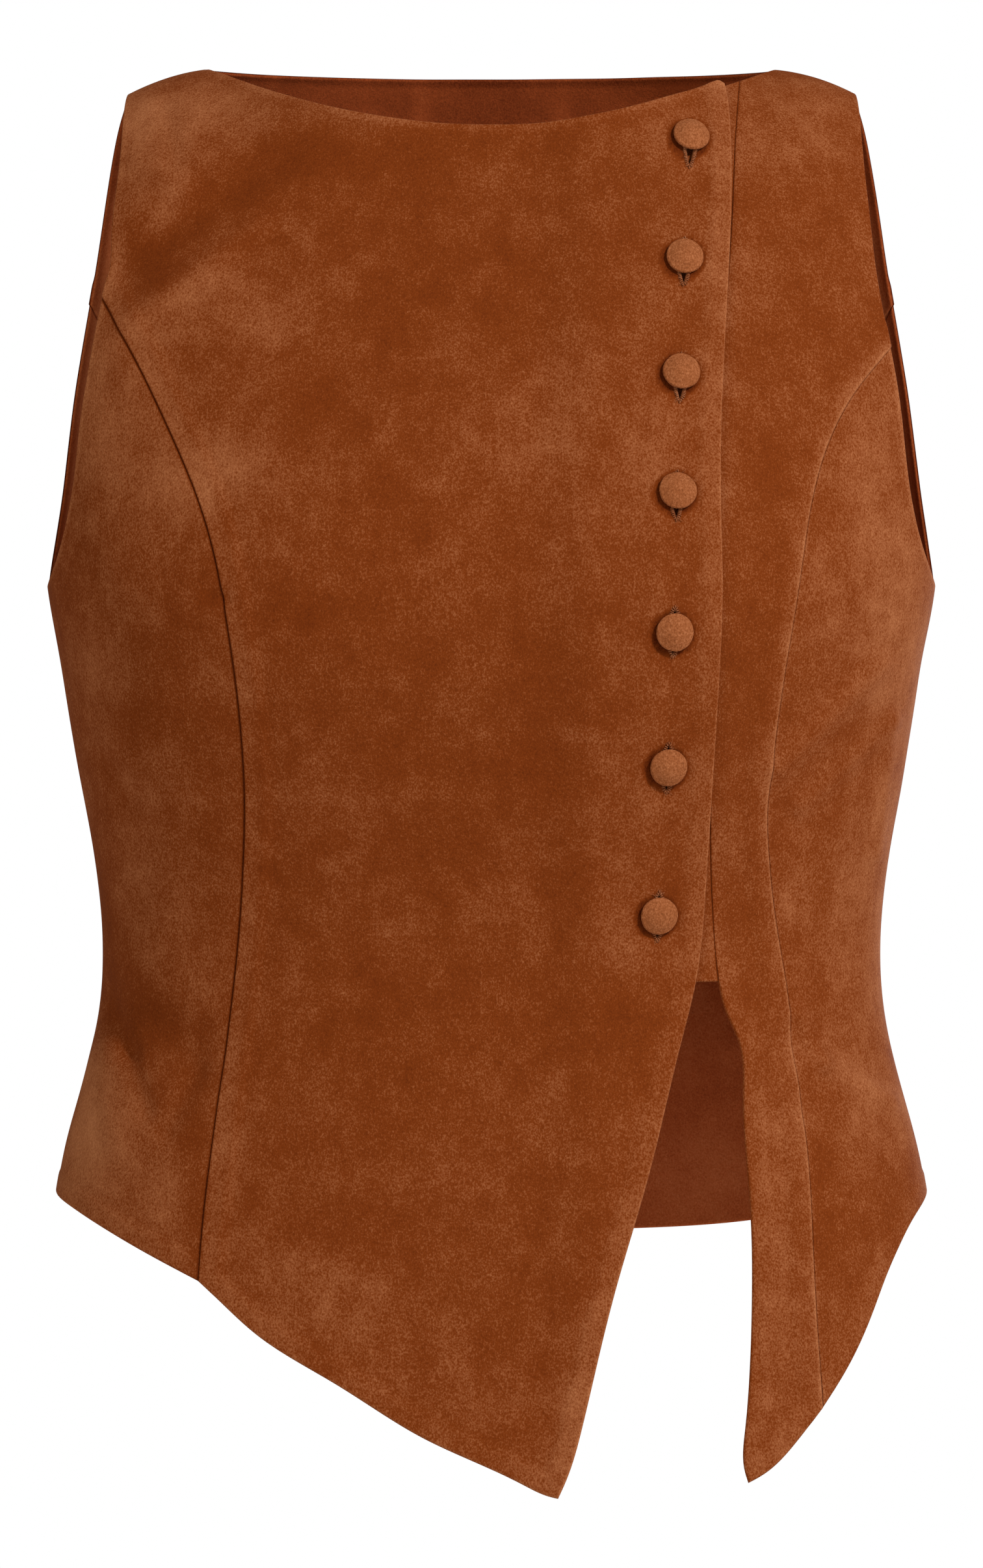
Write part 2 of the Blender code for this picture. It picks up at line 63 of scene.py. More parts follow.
# The hollow form that the garment keeps: one flat ring for each height
SECTIONS = (
    # height, half width, front depth, back depth, front squareness, back squareness
    (10, 156, 50, 44, 2.6, 2.9),
    (-25, 161.5, 59, 55, 2.6, 3),
    (-60, 166, 73, 69, 2.6, 3),
    (-115, 171, 94, 87, 2.55, 2.9),
    (-160, 171.6, 107, 93, 2.5, 2.7),
    (-194, 170.4, 112.5, 92, 2.45, 2.55),
    (-225, 164.7, 112, 87.7, 2.4, 2.44),
    (-254, 160.1, 107.5, 82, 2.35, 2.35),
    (-314, 150.4, 93.5, 71, 2.25, 2.25),
    (-344, 149.6, 90, 70, 2.25, 2.25),
    (-364, 152.1, 90, 73, 2.25, 2.25),
    (-404, 162.4, 93, 82, 2.3, 2.3),
    (-427, 167, 95, 87, 2.35, 2.35),
    (-480, 172, 98, 95, 2.4, 2.4),
    (-545, 175, 100, 100, 2.4, 2.4),
)
SIDE_FADE = 0.25  # fullness and folds die out where the front turns to the side
BUST = {"out": 4, "width": 80, "height": -200, "wide": 45, "tall": 50}

# Shoulder ridge, where front and back meet
SHOULDER_DEPTH = 4  # the ridge lies this far behind the side seams
SHOULDER_ROUND = 60  # drop over which the ridge rounds off into the body
NECK_END = 108.9  # half width at the neck end of the shoulder seam
SHOULDER_TIP = 140.4  # half width at the armhole end
NECK_END_HEIGHT = 4.9
SHOULDER_SLOPE = 0.0966
SHOULDER_FALL = 0.00662  # how fast the slope steepens towards the tip
NECK_RISE = 26  # how far the form would climb inside the neck opening

# Largest soft folds, which the solids have too: ridges have a rise above zero, troughs below
FOLDS = (
    # start width, start height, end width, end height, half width, rise
    (-138, -74, -92, -34, 13, -2.6),
    (-138, -104, -106, -86, 15, 1.6),
    (-148, -352, -118, -372, 12, -2),
    (114, -282, 150, -249, 12, -1.6),
    (119, -367, 152, -391, 12, -1.8),
)

# Pattern lines as (width, height) seen from the front, right side of the garment below zero.
# SIDE is wider than the form at any height, so it means the side seam.
SIDE = 999.0
UNDERARM = -194
SIDE_HEM = -425.5
FRONT_ARMHOLE = (
    (SHOULDER_TIP, -4.7), (141, -15), (142.3, -42), (144, -63), (146.2, -83),
    (150, -103), (153.9, -126), (157, -153), (162.6, -179), (168, -191), (SIDE, UNDERARM),
)
BACK_ARMHOLE = (
    (SHOULDER_TIP, -4.7), (145, -17), (151.8, -50), (158.8, -91), (164.7, -131),
    (169.1, -172), (170.6, -189), (SIDE, UNDERARM),
)
NECKLINE = {"bottom": -21.8, "power": 2.1}
BACK_NECK_HEIGHT = 5.3
BACK_HEM = ((0, -448), (56, -446.4), (102, -442.6), (140, -434.5), (SIDE, SIDE_HEM))

RIGHT_SEAM_TOP = -86.7  # height where the shaped front seam leaves the right armhole
LEFT_SEAM_TOP = -105.7
BACK_SEAM_TOP = -82.9
RIGHT_FRONT_SEAM = (
    (-138.8, -101), (-128.6, -120.5), (-112.5, -155.3), (-102.2, -187), (-95.1, -229),
    (-91.8, -272), (-93.5, -317), (-99, -366), (-104.2, -403), (-109.4, -455.2),
)
LEFT_FRONT_SEAM = (
    (136.1, -123.4), (120.4, -159.5), (114, -196), (107.2, -241), (103.1, -277),
    (105.6, -314), (111, -348), (115.6, -385), (120.7, -453), (123.8, -502.7),
)
BACK_SEAM = (
    (146.5, -104), (125, -150), (113, -195), (106.5, -255), (104.5, -320),
    (106.5, -370), (111, -441),
)
RIGHT_CORNER = (88, -6)  # rounded neck corner of the overlapping front
CORNER_ROUND = 2.6
CORNER_RISE = 1.5  # the corner stands up a little above the neckline
CORNER_RAMP = (30, 80)  # width over which it rises
RIGHT_TIP = (24.6, -534.3)
CLOSURE_EDGE = (
    (88.8, -10.5), (89.9, -30), (88.8, -70), (85.3, -126), (84.6, -186), (83, -241),
    (79.9, -295), (75.7, -343.5), (69.6, -368.6), (57.8, -416.6), (45.2, -459.7), (33.6, -507.6),
    (27.6, -527.6),
)
RIGHT_HEM = (
    (-102.7, -461.2), (-87.5, -474.5), (-57.4, -492.6), (-26.2, -511.6), (10.9, -528.8), (21.2, -533.5),
)
RIGHT_SIDE_HEM = ((-159.4, -430.3), (-133.6, -443.5))
STAND_TOP = (94.5, -2.6)  # where the button stand's seam meets the neckline
STAND_FOOT = (84.9, -343.8)
STAND_SEAM = ((92.2, -24.8), (89.8, -62), (84.4, -126), (83.4, -196), (81.2, -283), (82.4, -317))
STAND_WIDTH = 43
FREE_EDGE = (
    (87.5, -354.5), (92.4, -366), (94, -388), (96.3, -425), (96.8, -473), (94.4, -510),
    (94, -524),
)
LEFT_TIP = (95.6, -529.6)
LEFT_HEM = ((101.5, -526.5), (114.2, -514.5))
LEFT_SIDE_HEM = ((138.4, -479.1), (150.1, -452.5), (159.5, -435.5))

# Buttons
BUTTONS = (
    # width, height, how far the buttonhole's middle lies below the button's
    (74.5, -27.7, 2.6),
    (71.7, -74.5, 1.4),
    (69.9, -118.2, 1.8),
    (68.2, -162.8, 1.5),
    (66.9, -213.9, 0),
    (64.7, -263, 0.6),
    (61.5, -318.4, 0.4),
)
BUTTON_RADIUS = 7
BUTTON_HEIGHT = 3.8
BUTTON_CROWN = 1.8  # rise of the domed face above its rim
CLEARANCE = 0.5  # air between a button and the cloth

# Half section of a button: starts and ends are shares of its radius, or degrees round its rim
DOME = {"start": 0.08, "end": 0.84, "foot": 0.86, "power": 2.2, "rings": 12}
RIM = {"start": 72, "end": -80, "rings": 14}
UNDERSIDE = {"start": 0.78, "end": 0.3, "hollow": 0.12, "rings": 6}
SHANK_RADIUS = 0.9
SHANK_TOP = {"flare": 1.5, "drop": 0.4}

# Uneven covering of a button, as waves round it and their size
BUTTON_LUMPS = ((2, 0.006), (3, 0.005), (5, 0.004), (9, 0.003))
BUTTON_SAGS = ((1, 0.06), (2, 0.05))
SAG_PHASES = 6  # largest phase of a sag in radians
GATHERS = {"count": 26, "depth": 0.14, "height": 1.2}
BUTTON_SEED = 100
BUTTON_SIDES = 80

# Slit of a buttonhole, pointed at both ends
HOLE_LENGTH = 17
HOLE_WIDTH = 3  # how far the button pulls it open at its middle
HOLE_POINTS = 28
HOLE_TURN = 8  # how late its outward directions turn towards the ends

# Grid of the cloth: even inside a panel and closer at its edges, where the suede rolls over
GRID_STEP = 2
BORDER_STEPS = np.array([0.0, 0.1, 0.25, 0.45, 0.75, 1.15, 1.7, 2.6, 4.0])
TOP_HOLD = 4  # how fast the shape of a panel's top edge dies out below it
TRACE_POINTS = 240
WIDTH_ROUNDS = 4  # tries at a width on the form with its folds

# Stretches of a panel's outline: a seam over or under its neighbour, a pressed hem, a bare edge
OVER = "over"
UNDER = "under"
HEM = "hem"
EDGE = "edge"

# Bands along an edge: a lift or a tone, whole up to a reach and fading past it
Band = namedtuple("Band", "reach fade size")
PRESSED_HEM = Band(6.5, 2.4, 0.4)
SEAM_TURNING = Band(7, 5, 0.55)
EDGE_ROLL = WALL / 2
SEAM_DEPTH = 0.45  # how far below the face two panels meet
TOUCHING = 0.02  # distances below this count as none

# Small creases, in the same columns as the folds
FRONT_CREASES = (
    (-137, -76, -76, -34, 9, -1.1),
    (-137, -98, -88, -61, 5, 0.9),
    (-124, -12, -120, -34, 4, -0.6),
    (-133, -34, -116, -46, 5, 0.6),
    (-104, -200, -98.5, -201.5, 2.6, -0.9),
    (-153, -252, -136, -276, 5, -0.9),
    (-150, -347, -138, -371, 4.5, -2),
    (-138, -371, -130, -393, 4, -1.1),
    (-111, -378, -122, -400, 4.5, -1.1),
    (-146, -350, -112, -366, 11, -1),
    (-152, -374, -141, -404, 8, 1.1),
    (107, -264, 146, -226, 4.5, 1.5),
    (116, -278, 152, -246, 4, 1.2),
    (151, -246, 146, -296, 3.5, 1),
    (115, -356, 124, -375, 3.5, 1.7),
    (124, -375, 152, -391, 4, 1.8),
    (120, -392, 150, -405, 7, -1),
    (104, -66, 132, -46, 6, -0.6),
    (-40, -250, 30, -262, 14, -0.4),
    (-70, -372, 10, -352, 16, -0.5),
)
BACK_CREASES = (
    (-132, -70, -86, -38, 10, -1.1),
    (-126, -92, -96, -74, 9, 0.8),
    (128, -82, 92, -44, 11, -1),
    (138, -270, 104, -292, 7, -1),
    (-140, -262, -102, -290, 6, -1.1),
    (-134, -284, -98, -306, 5, 0.7),
    (132, -350, 96, -372, 7, -0.9),
    (-136, -356, -98, -376, 7, -1),
    (-52, -322, 44, -330, 9, -0.9),
    (-40, -346, 58, -340, 8, 0.6),
    (-30, -300, 36, -296, 10, -0.6),
    (-28, -20, -26, -70, 7, -0.7),
    (28, -20, 26, -70, 7, -0.7),
)
BUTTON_LINE = {"half width": 4.5, "rise": -0.35}
WAVES = {"seed": 11, "count": 20, "shortest": 24, "longest": 95, "share": 0.00075}

# Brushed nap, and painted light and shade, as soft patches that are lighter or darker than the rest
FRONT_PATCHES = (
    # width, height, half width, half height, turn in degrees, tone
    # painted light: the whole right side lighter, as the light falls from the right
    (146, -180, 26, 130, 0, 0.11),
    (160, -238, 9, 54, 0, 0.07),
    (150, -325, 12, 50, 0, 0.1),
    (158, -398, 6, 16, 0, 0.1),
    (150, -434, 10, 14, 0, -0.06),
    (137, -392, 20, 26, 0, 0.07),
    (131, -342, 9, 16, 0, 0.07),
    (134, -380, 22, 5, -32, 0.09),
    (125, -408, 5, 26, 0, -0.07),
    (109, -448, 7, 62, 0, 0.1),
    (126, -484, 14, 20, 0, 0.05),
    (114, -300, 8, 40, 0, 0.05),
    (128, -243, 24, 4, 44, 0.06),
    (146, -238, 8, 9, 0, 0.08),
    (124, -224, 15, 10, 0, -0.07),
    (123, -134, 14, 12, 0, -0.06),
    (127, -92, 18, 26, 0, -0.09),
    (138, -165, 12, 22, 0, 0.05),
    (120, -20, 24, 14, 0, 0.09),
    (99, -80, 9, 14, 0, 0.1),
    (79, -52, 8, 9, 0, -0.08),
    (98, -148, 14, 9, 0, -0.09),
    (104, -205, 6, 40, -6, -0.06),
    (97, -394, 7, 12, 0, -0.06),
    (82, -330, 6, 16, 0, 0.06),
    (86, -8, 6, 5, 0, 0.1),
    (86, -110, 11, 70, 0, 0.07),
    (62, -27, 24, 13, 10, 0.08),
    (52, -47, 12, 7, 0, -0.08),
    (69, -86, 15, 11, 0, 0.08),
    (29, -126, 13, 22, 0, 0.09),
    (24, -158, 20, 22, 0, 0.07),
    (58, -158, 12, 22, 0, 0.12),
    (30, -252, 10, 4, -6, 0.12),
    (62, -271, 22, 20, 0, 0.08),
    (48, -300, 12, 30, 0, 0.06),
    (42, -246, 9, 8, 0, -0.08),
    (53, -331, 10, 9, 0, 0.11),
    (65, -302, 10, 14, 0, -0.06),
    (52, -376, 8, 16, 0, -0.07),
    (39, -478, 8, 58, -14, 0.08),
    (24, -520, 9, 14, -14, 0.08),
    (0, -500, 20, 18, -20, 0.07),
    (-52, -466, 46, 15, -30, 0.06),
    (-118, -14, 27, 12, 6, 0.2),
    (-134, -22, 8, 20, 0, 0.13),
    (-122, -36, 14, 10, 30, 0.09),
    (-125, -56, 26, 6, 55, 0.12),
    (-70, -19, 26, 9, -6, 0.12),
    (-98, -49, 38, 9, 34, -0.11),
    (-129, -73, 8, 13, 20, -0.1),
    (-114, -89, 22, 9, 32, 0.14),
    (-141, -72, 4, 12, 0, 0.12),
    (-149, -116, 8, 26, 0, 0.15),
    (-132, -150, 28, 40, 0, 0.11),
    (-99, -156, 20, 13, 20, 0.16),
    (-90, -96, 12, 18, 0, 0.07),
    (-66, -135, 14, 16, 0, -0.05),
    (-30, -33, 44, 10, 0, -0.06),
    (-12, -72, 50, 16, 0, -0.05),
    (-132, -188, 28, 12, 0, -0.06),
    (-150, -231, 14, 12, 0, 0.07),
    (-45, -205, 44, 10, 0, -0.07),
    (-103, -201, 4, 3, 0, -0.1),
    (-130, -280, 32, 84, 0, 0.06),
    (-113, -248, 24, 11, 8, -0.12),
    (-128, -308, 13, 24, 0, 0.07),
    (-40, -258, 44, 16, 4, -0.07),
    (-132, -358, 24, 14, -26, -0.13),
    (-28, -345, 34, 22, 0, -0.06),
    (-144, -404, 24, 26, 0, 0.15),
    (-153, -382, 8, 36, 0, 0.2),
    (-160, -416, 8, 14, 0, 0.11),
    (-147, -330, 5, 24, 0, -0.1),
    (-126, -424, 14, 14, 0, 0.11),
    (-97, -406, 7, 14, 0, 0.09),
    (-109, -432, 5, 32, 6, -0.09),
    (-20, -430, 48, 13, -4, -0.06),
)
BACK_PATCHES = (
    (-96, -48, 30, 12, -25, -0.06),
    (104, -60, 26, 12, 28, 0.06),
    (-20, -150, 34, 22, 10, 0.05),
    (50, -210, 24, 30, 0, -0.05),
    (-118, -200, 14, 30, 0, 0.06),
    (-40, -300, 26, 16, 0, -0.06),
    (120, -290, 14, 26, -10, 0.07),
    (20, -390, 40, 14, 6, 0.05),
    (-110, -390, 14, 22, 12, -0.06),
)
# Painted light and shade on the reverse where it shows inside: painted highlights of two soft folds below
# the back neck, painted shade across the middle of the back neck, and painted light inside the vent and the
# armholes
INSIDE_PAINTED_LIGHT_PATCHES = (
    (-28, -14, 3.6, 40, 0, 0.14),
    (28, -14, 3.6, 40, 0, 0.14),
    (0, -10, 80, 30, 0, -0.16),
    (0, -10, 24, 30, 0, -0.09),
    (78, -428, 30, 24, 0, 0.13),
    (80, -352, 14, 18, 0, 0.06),
    (-158, -100, 22, 90, 0, 0.42),
    (158, -100, 22, 90, 0, 0.28),
)
# Painted shade: the reverse darker along its bare edges
INSIDE_EDGE_PAINTED_SHADE = Band(1.8, 2.2, -0.24)
# Painted shadow of each button on the cloth, below and to the left of it, as the light falls from the upper
# right
BUTTON_PAINTED_SHADOW = Band(7.2, 1.5, -0.4)
PAINTED_SHADOW_ASIDE = (-0.7, -0.8)  # how far the painted shadow of a button lies from its middle
# Bands of tone along the edges of the face: lighter hems and edges are partly wear and partly painted
# highlight, the dark lines at the seams and the button stand and the dark rim on the back are painted shade,
# and the bright lines along the left front's seam and the right front's closure edge are painted highlights
WORN_AND_PAINTED_LIGHT_BANDS = (
    # panel or first word of several, kind of edge, reach, fade, tone
    ("every", HEM, 6.5, 4, 0.05),
    ("every", EDGE, 0.2, 0.8, 0.04),
    # painted highlight: light rim along the closure edge and hem of the right front
    ("right_front", HEM, 0.3, 0.8, 0.1),
    ("right_front_side", EDGE, 1.5, 2, 0.1),
    ("left_front_side", EDGE, 1.5, 2, 0.1),
    ("right_front", EDGE, 1.5, 3, 0.07),
    ("right_front", OVER, 4, 4, 0.06),
    # painted shade: dark line down the seam between the right front and its side panel
    ("right_front", OVER, 0.2, 0.6, -0.25),
    ("right_front_side", UNDER, 0.2, 0.7, -0.35),
    # painted highlight: bright ridge along the left front's seam, and painted light beside it on the side
    # panel
    ("left_front", OVER, 0.8, 1, 0.13),
    ("left_front", OVER, 3, 3, 0.05),
    ("left_front_side", UNDER, 0.4, 1, 0.05),
    # painted shade: dark line down the seam of the button stand
    ("button_stand", UNDER, 0.1, 0.5, -0.16),
    ("left_front", UNDER, 0.1, 0.5, -0.1),
    # painted shade: dark rim along the bare edges of the back
    ("back", EDGE, 0.6, 0.9, -0.6),
)

# Stitches of the buttonholes: each rises out of the cloth, arches and dips into the slit
STITCH = {"count": 64, "points": 7, "sides": 6, "radius": 0.25, "out": 1.25, "inset": 0.12, "rise": 0.5,
          "arch": 0.8, "fullness": 0.8, "dip": -0.5, "dip from": 0.7, "longer": (0.8, 1.15),
          "higher": (0.85, 1.2)}
FRAY = {"seed": 5, "count": 12, "radius": 0.07, "length": (0.9, 2.2), "aside": 0.9, "inset": 1.4,
        "turn": 0.9, "bend": 0.4, "lift": 0.15, "rise": (0.1, 0.7), "arch": 0.6}
TUBE_SIDE = np.array([0.31, 0.84, 0.44])  # a direction that no stitch or thread follows

# Colours, dark to light, as the nap lies away from or towards the light, and where light and shade are
# painted
FACE_COLOURS = ((0.064, 0.0083, 0.0008), (0.174, 0.0332, 0.0044), (0.46, 0.174, 0.068))
# the reverse is lighter than the face: painted light, standing in for light inside the garment
REVERSE_COLOURS_PAINTED_LIGHTER = ((0.11, 0.018, 0.004), (0.305, 0.061, 0.0145), (0.5, 0.15, 0.05))
BUTTON_COLOURS = ((0.11, 0.026, 0.006), (0.265, 0.079, 0.024), (0.46, 0.175, 0.072))
THREAD_COLOURS = ((0.09, 0.022, 0.006), (0.27, 0.084, 0.03), (0.52, 0.23, 0.11))

# Noise in the nap: its brushed mottling, and the grain of its fibres
MOTTLE = {
    # layer: patches to a metre, detail, stretch up the garment, share of the lightness
    "broad": (26, 2, 1, 0.26),
    "cloudy": (85, 3, 1, 0.26),
    "streaked": (150, 3, 0.4, 0.14),
}
GRAIN = {
    "fibres": (1700, 1, 0.75, 0.56),
    "specks": (800, 2, 1, 0.22),
}
NOISE_MEAN = 0.5
NOISE_ROUGHNESS = 0.6
RAMP_MIDDLE = 0.5  # place of the middle colour between dark and light
ROUGHNESS = {"least": 0.82, "spread": 0.2}
PILE = {"fibres": 0.5, "specks": 0.7, "cloudy": 1.2}
BUMP = {"Strength": 0.5, "Distance": 0.0004}
SHEEN = {"Sheen Weight": 0.05, "Sheen Roughness": 0.45, "Sheen Tint": (1.0, 0.45, 0.2, 1.0),
         "Specular IOR Level": 0.03}

# Studio
WHITE = (1.0, 1.0, 1.0, 1.0)
FLOOR = {"height": -1250, "half": 5500}
FLOOR_LOOK = {"Base Color": (0.90, 0.89, 0.88, 1), "Roughness": 0.9}
LIGHTS = (
    # name, place in metres, size in metres, watts, colour
    ("key", (1.8, -2.3, 1.6), 0.4, 88, (1, 1, 1.05)),
    ("fill", (-2, -2.2, 0.5), 2, 23, (1, 0.92, 0.78)),
    ("side", (2.6, -0.7, 0.4), 1.2, 15, (1, 1.05, 1.15)),
    ("back", (1.3, 2.6, -0.1), 1.6, 42, (1, 1, 1)),
)
AMBIENT = 0.255


def spline(knots, values):
    """Natural cubic curve through values at rising knots, as a function."""
    knots = np.asarray(knots, float)
    values = np.asarray(values, float)
    gaps = np.diff(knots)
    slopes = np.diff(values, axis=0) / gaps.reshape((-1,) + (1,) * (values.ndim - 1))
    system = np.eye(len(knots))
    right = np.zeros_like(values)
    for i in range(1, len(knots) - 1):
        system[i, i - 1:i + 2] = gaps[i - 1], 2 * (gaps[i - 1] + gaps[i]), gaps[i]
        right[i] = 3 * (slopes[i] - slopes[i - 1])
    bend = np.linalg.solve(system, right)

    def curve(at):
        at = np.asarray(at, float)
        i = np.clip(np.searchsorted(knots, at) - 1, 0, len(knots) - 2)
        spread = at.shape + (1,) * (values.ndim - 1)
        gap = gaps[i].reshape(spread)
        along = (at - knots[i]).reshape(spread)
        lean = slopes[i] - gap * (2 * bend[i] + bend[i + 1]) / 3
        twist = (bend[i + 1] - bend[i]) / (3 * gap)
        return values[i] + along * (lean + along * (bend[i] + along * twist))

    return curve


section_at = spline([row[0] for row in reversed(SECTIONS)], [row[1:] for row in reversed(SECTIONS)])
button_width_at = spline([row[1] for row in reversed(BUTTONS)], [row[0] for row in reversed(BUTTONS)])


def shoulder_height(width):
    """Height of the shoulder ridge at a width from the middle."""
    past = np.maximum(np.abs(width) - NECK_END, 0.0)
    inside = np.maximum(1 - (width / NECK_END) ** 2, 0.0)
    climb = inside * (SHOULDER_SLOPE * NECK_END / 2 + NECK_RISE * inside)
    return NECK_END_HEIGHT - past * (SHOULDER_SLOPE + SHOULDER_FALL * past) + climb


def eased(share):
    """Smooth step from 0 to 1."""
    share = np.clip(share, 0, 1)
    return share ** 2 * (3 - 2 * share)


def fold_rise(folds, width, height):
    """Outward rise of all the folds of a table at points seen from the front."""
    rise = np.zeros_like(width)
    for start_w, start_h, end_w, end_h, half_width, peak in folds:
        run = np.array([end_w - start_w, end_h - start_h])
        share = ((width - start_w) * run[0] + (height - start_h) * run[1]) / (run @ run)
        share = np.clip(share, 0.0, 1.0)
        away = np.hypot(width - start_w - share * run[0], height - start_h - share * run[1])
        rise += peak * np.exp(-(away / half_width) ** 2)
    return rise


def on_form(path):
    """Points of the form at rows of (angle round from the front centre, height)."""
    angle = path[..., 0]
    height = path[..., 1]
    half, front, back, front_square, back_square = np.moveaxis(section_at(height), -1, 0)
    ahead = np.cos(angle) > 0
    depth = np.where(ahead, front, back)
    square = np.where(ahead, front_square, back_square)
    ring = (np.abs(np.sin(angle)) / half) ** square + (np.abs(np.cos(angle)) / depth) ** square
    reach = ring ** (-1 / square)
    x = reach * np.sin(angle)
    bust = BUST["out"] * np.exp(-((np.abs(x) - BUST["width"]) / BUST["wide"]) ** 2
                                - ((height - BUST["height"]) / BUST["tall"]) ** 2)
    reach = reach + eased(np.cos(angle) / SIDE_FADE) * (bust + fold_rise(FOLDS, x, height))
    x = reach * np.sin(angle)
    y = -reach * np.cos(angle)
    short = np.clip(1 - (shoulder_height(x) - height) / SHOULDER_ROUND, 0, 1)
    y = SHOULDER_DEPTH + (y - SHOULDER_DEPTH) * np.sqrt(1 - short ** 2)
    return np.stack([x, y, height], axis=-1)


def unit(vectors):
    return vectors / np.linalg.norm(vectors, axis=-1, keepdims=True)


def outward(path):
    """Unit normals of the form, pointing out of the garment, taken just below the shoulder ridge."""
    turn = np.array([1e-5, 0.0])
    fall = np.array([0.0, 0.01])
    across = on_form(path + turn - fall) - on_form(path - turn - fall)
    up = on_form(path - fall) - on_form(path - 2 * fall)
    return unit(np.cross(across, up))


def ring_angle(width, height, behind):
    """Angle of a point of the ring at a height, before any fullness or fold."""
    half, front, back, front_square, back_square = section_at(height)
    depth, square = (back, back_square) if behind else (front, front_square)
    share = min(abs(width) / half, 1.0)
    angle = math.atan2(share * half, depth * (1 - share ** square) ** (1 / square))
    if behind:
        angle = math.pi - angle
    return math.copysign(angle, width)


def angle_at(width, height, behind=False):
    """Angle round the form of a point given by its width and height."""
    aim = width
    for _ in range(WIDTH_ROUNDS):
        found = on_form(np.array([ring_angle(aim, height, behind), height]))
        aim += width - found[0]
    return ring_angle(aim, height, behind)


def path_through(widths, heights, behind=False):
    """Path of (angle, height) points at the given widths and heights."""
    return np.array([(angle_at(width, height, behind), height) for width, height in zip(widths, heights)])


def marks_along(points):
    """Length of a line up to each of its points."""
    return np.concatenate([[0.0], np.cumsum(np.linalg.norm(np.diff(points, axis=0), axis=1))])


def traced(knots, behind=False):
    """Smooth path of (angle, height) points through (width, height) knots."""
    path = path_through(*zip(*knots), behind)
    marks = marks_along(on_form(path))
    return spline(marks, path)(np.linspace(0.0, marks[-1], TRACE_POINTS))


def spaced(path, shares):
    """Points of a path at shares of its true length."""
    marks = marks_along(on_form(path))
    return np.stack([np.interp(shares * marks[-1], marks, path[:, k]) for k in (0, 1)], axis=-1)


def split(path, height):
    """The parts of a falling path above and below a height."""
    cut = int(np.argmin(path[:, 1] > height))
    share = (path[cut - 1, 1] - height) / (path[cut - 1, 1] - path[cut, 1])
    joint = path[cut - 1] + share * (path[cut] - path[cut - 1])
    return np.vstack([path[:cut], joint]), np.vstack([joint, path[cut:]])


def joined(first, second):
    return np.vstack([first, second[1:]])


def mirrored(path):
    """The same path on the other side of the garment."""
    return path * np.array([-1.0, 1.0])


def round_back(path):
    """A path of the left back, seen on the right back."""
    return np.array([2 * math.pi, 0.0]) + mirrored(path)


def neckline_path(start, end, corner_rise=0.0):
    """Front neckline between two widths, closer points towards the shoulder seams."""
    turns = np.arcsin(np.array([start, end]) / NECK_END)
    widths = NECK_END * np.sin(np.linspace(*turns, TRACE_POINTS))
    climb = NECK_END_HEIGHT - NECKLINE["bottom"]
    heights = NECKLINE["bottom"] + climb * (np.abs(widths) / NECK_END) ** NECKLINE["power"]
    rise_start, rise_end = CORNER_RAMP
    heights += corner_rise * eased((widths - rise_start) / (rise_end - rise_start))
    return path_through(widths, heights)


def shoulder_path(behind=False):
    """Left shoulder seam from the neck end to the tip."""
    widths = np.linspace(NECK_END, SHOULDER_TIP, TRACE_POINTS)
    return path_through(widths, shoulder_height(widths), behind)


def side_seam(angle):
    """Straight side seam from the hem to the underarm."""
    heights = np.linspace(SIDE_HEM, UNDERARM, TRACE_POINTS)
    return np.stack([np.full_like(heights, angle), heights], axis=-1)


def shaped_seam(upper_armhole, knots, behind=False):
    """Rising seam from the hem through its knots to where the upper armhole ends."""
    joint = on_form(upper_armhole[-1])
    fall = traced(((joint[0], joint[2]),) + knots, behind)
    fall[0] = upper_armhole[-1]
    return fall[::-1]


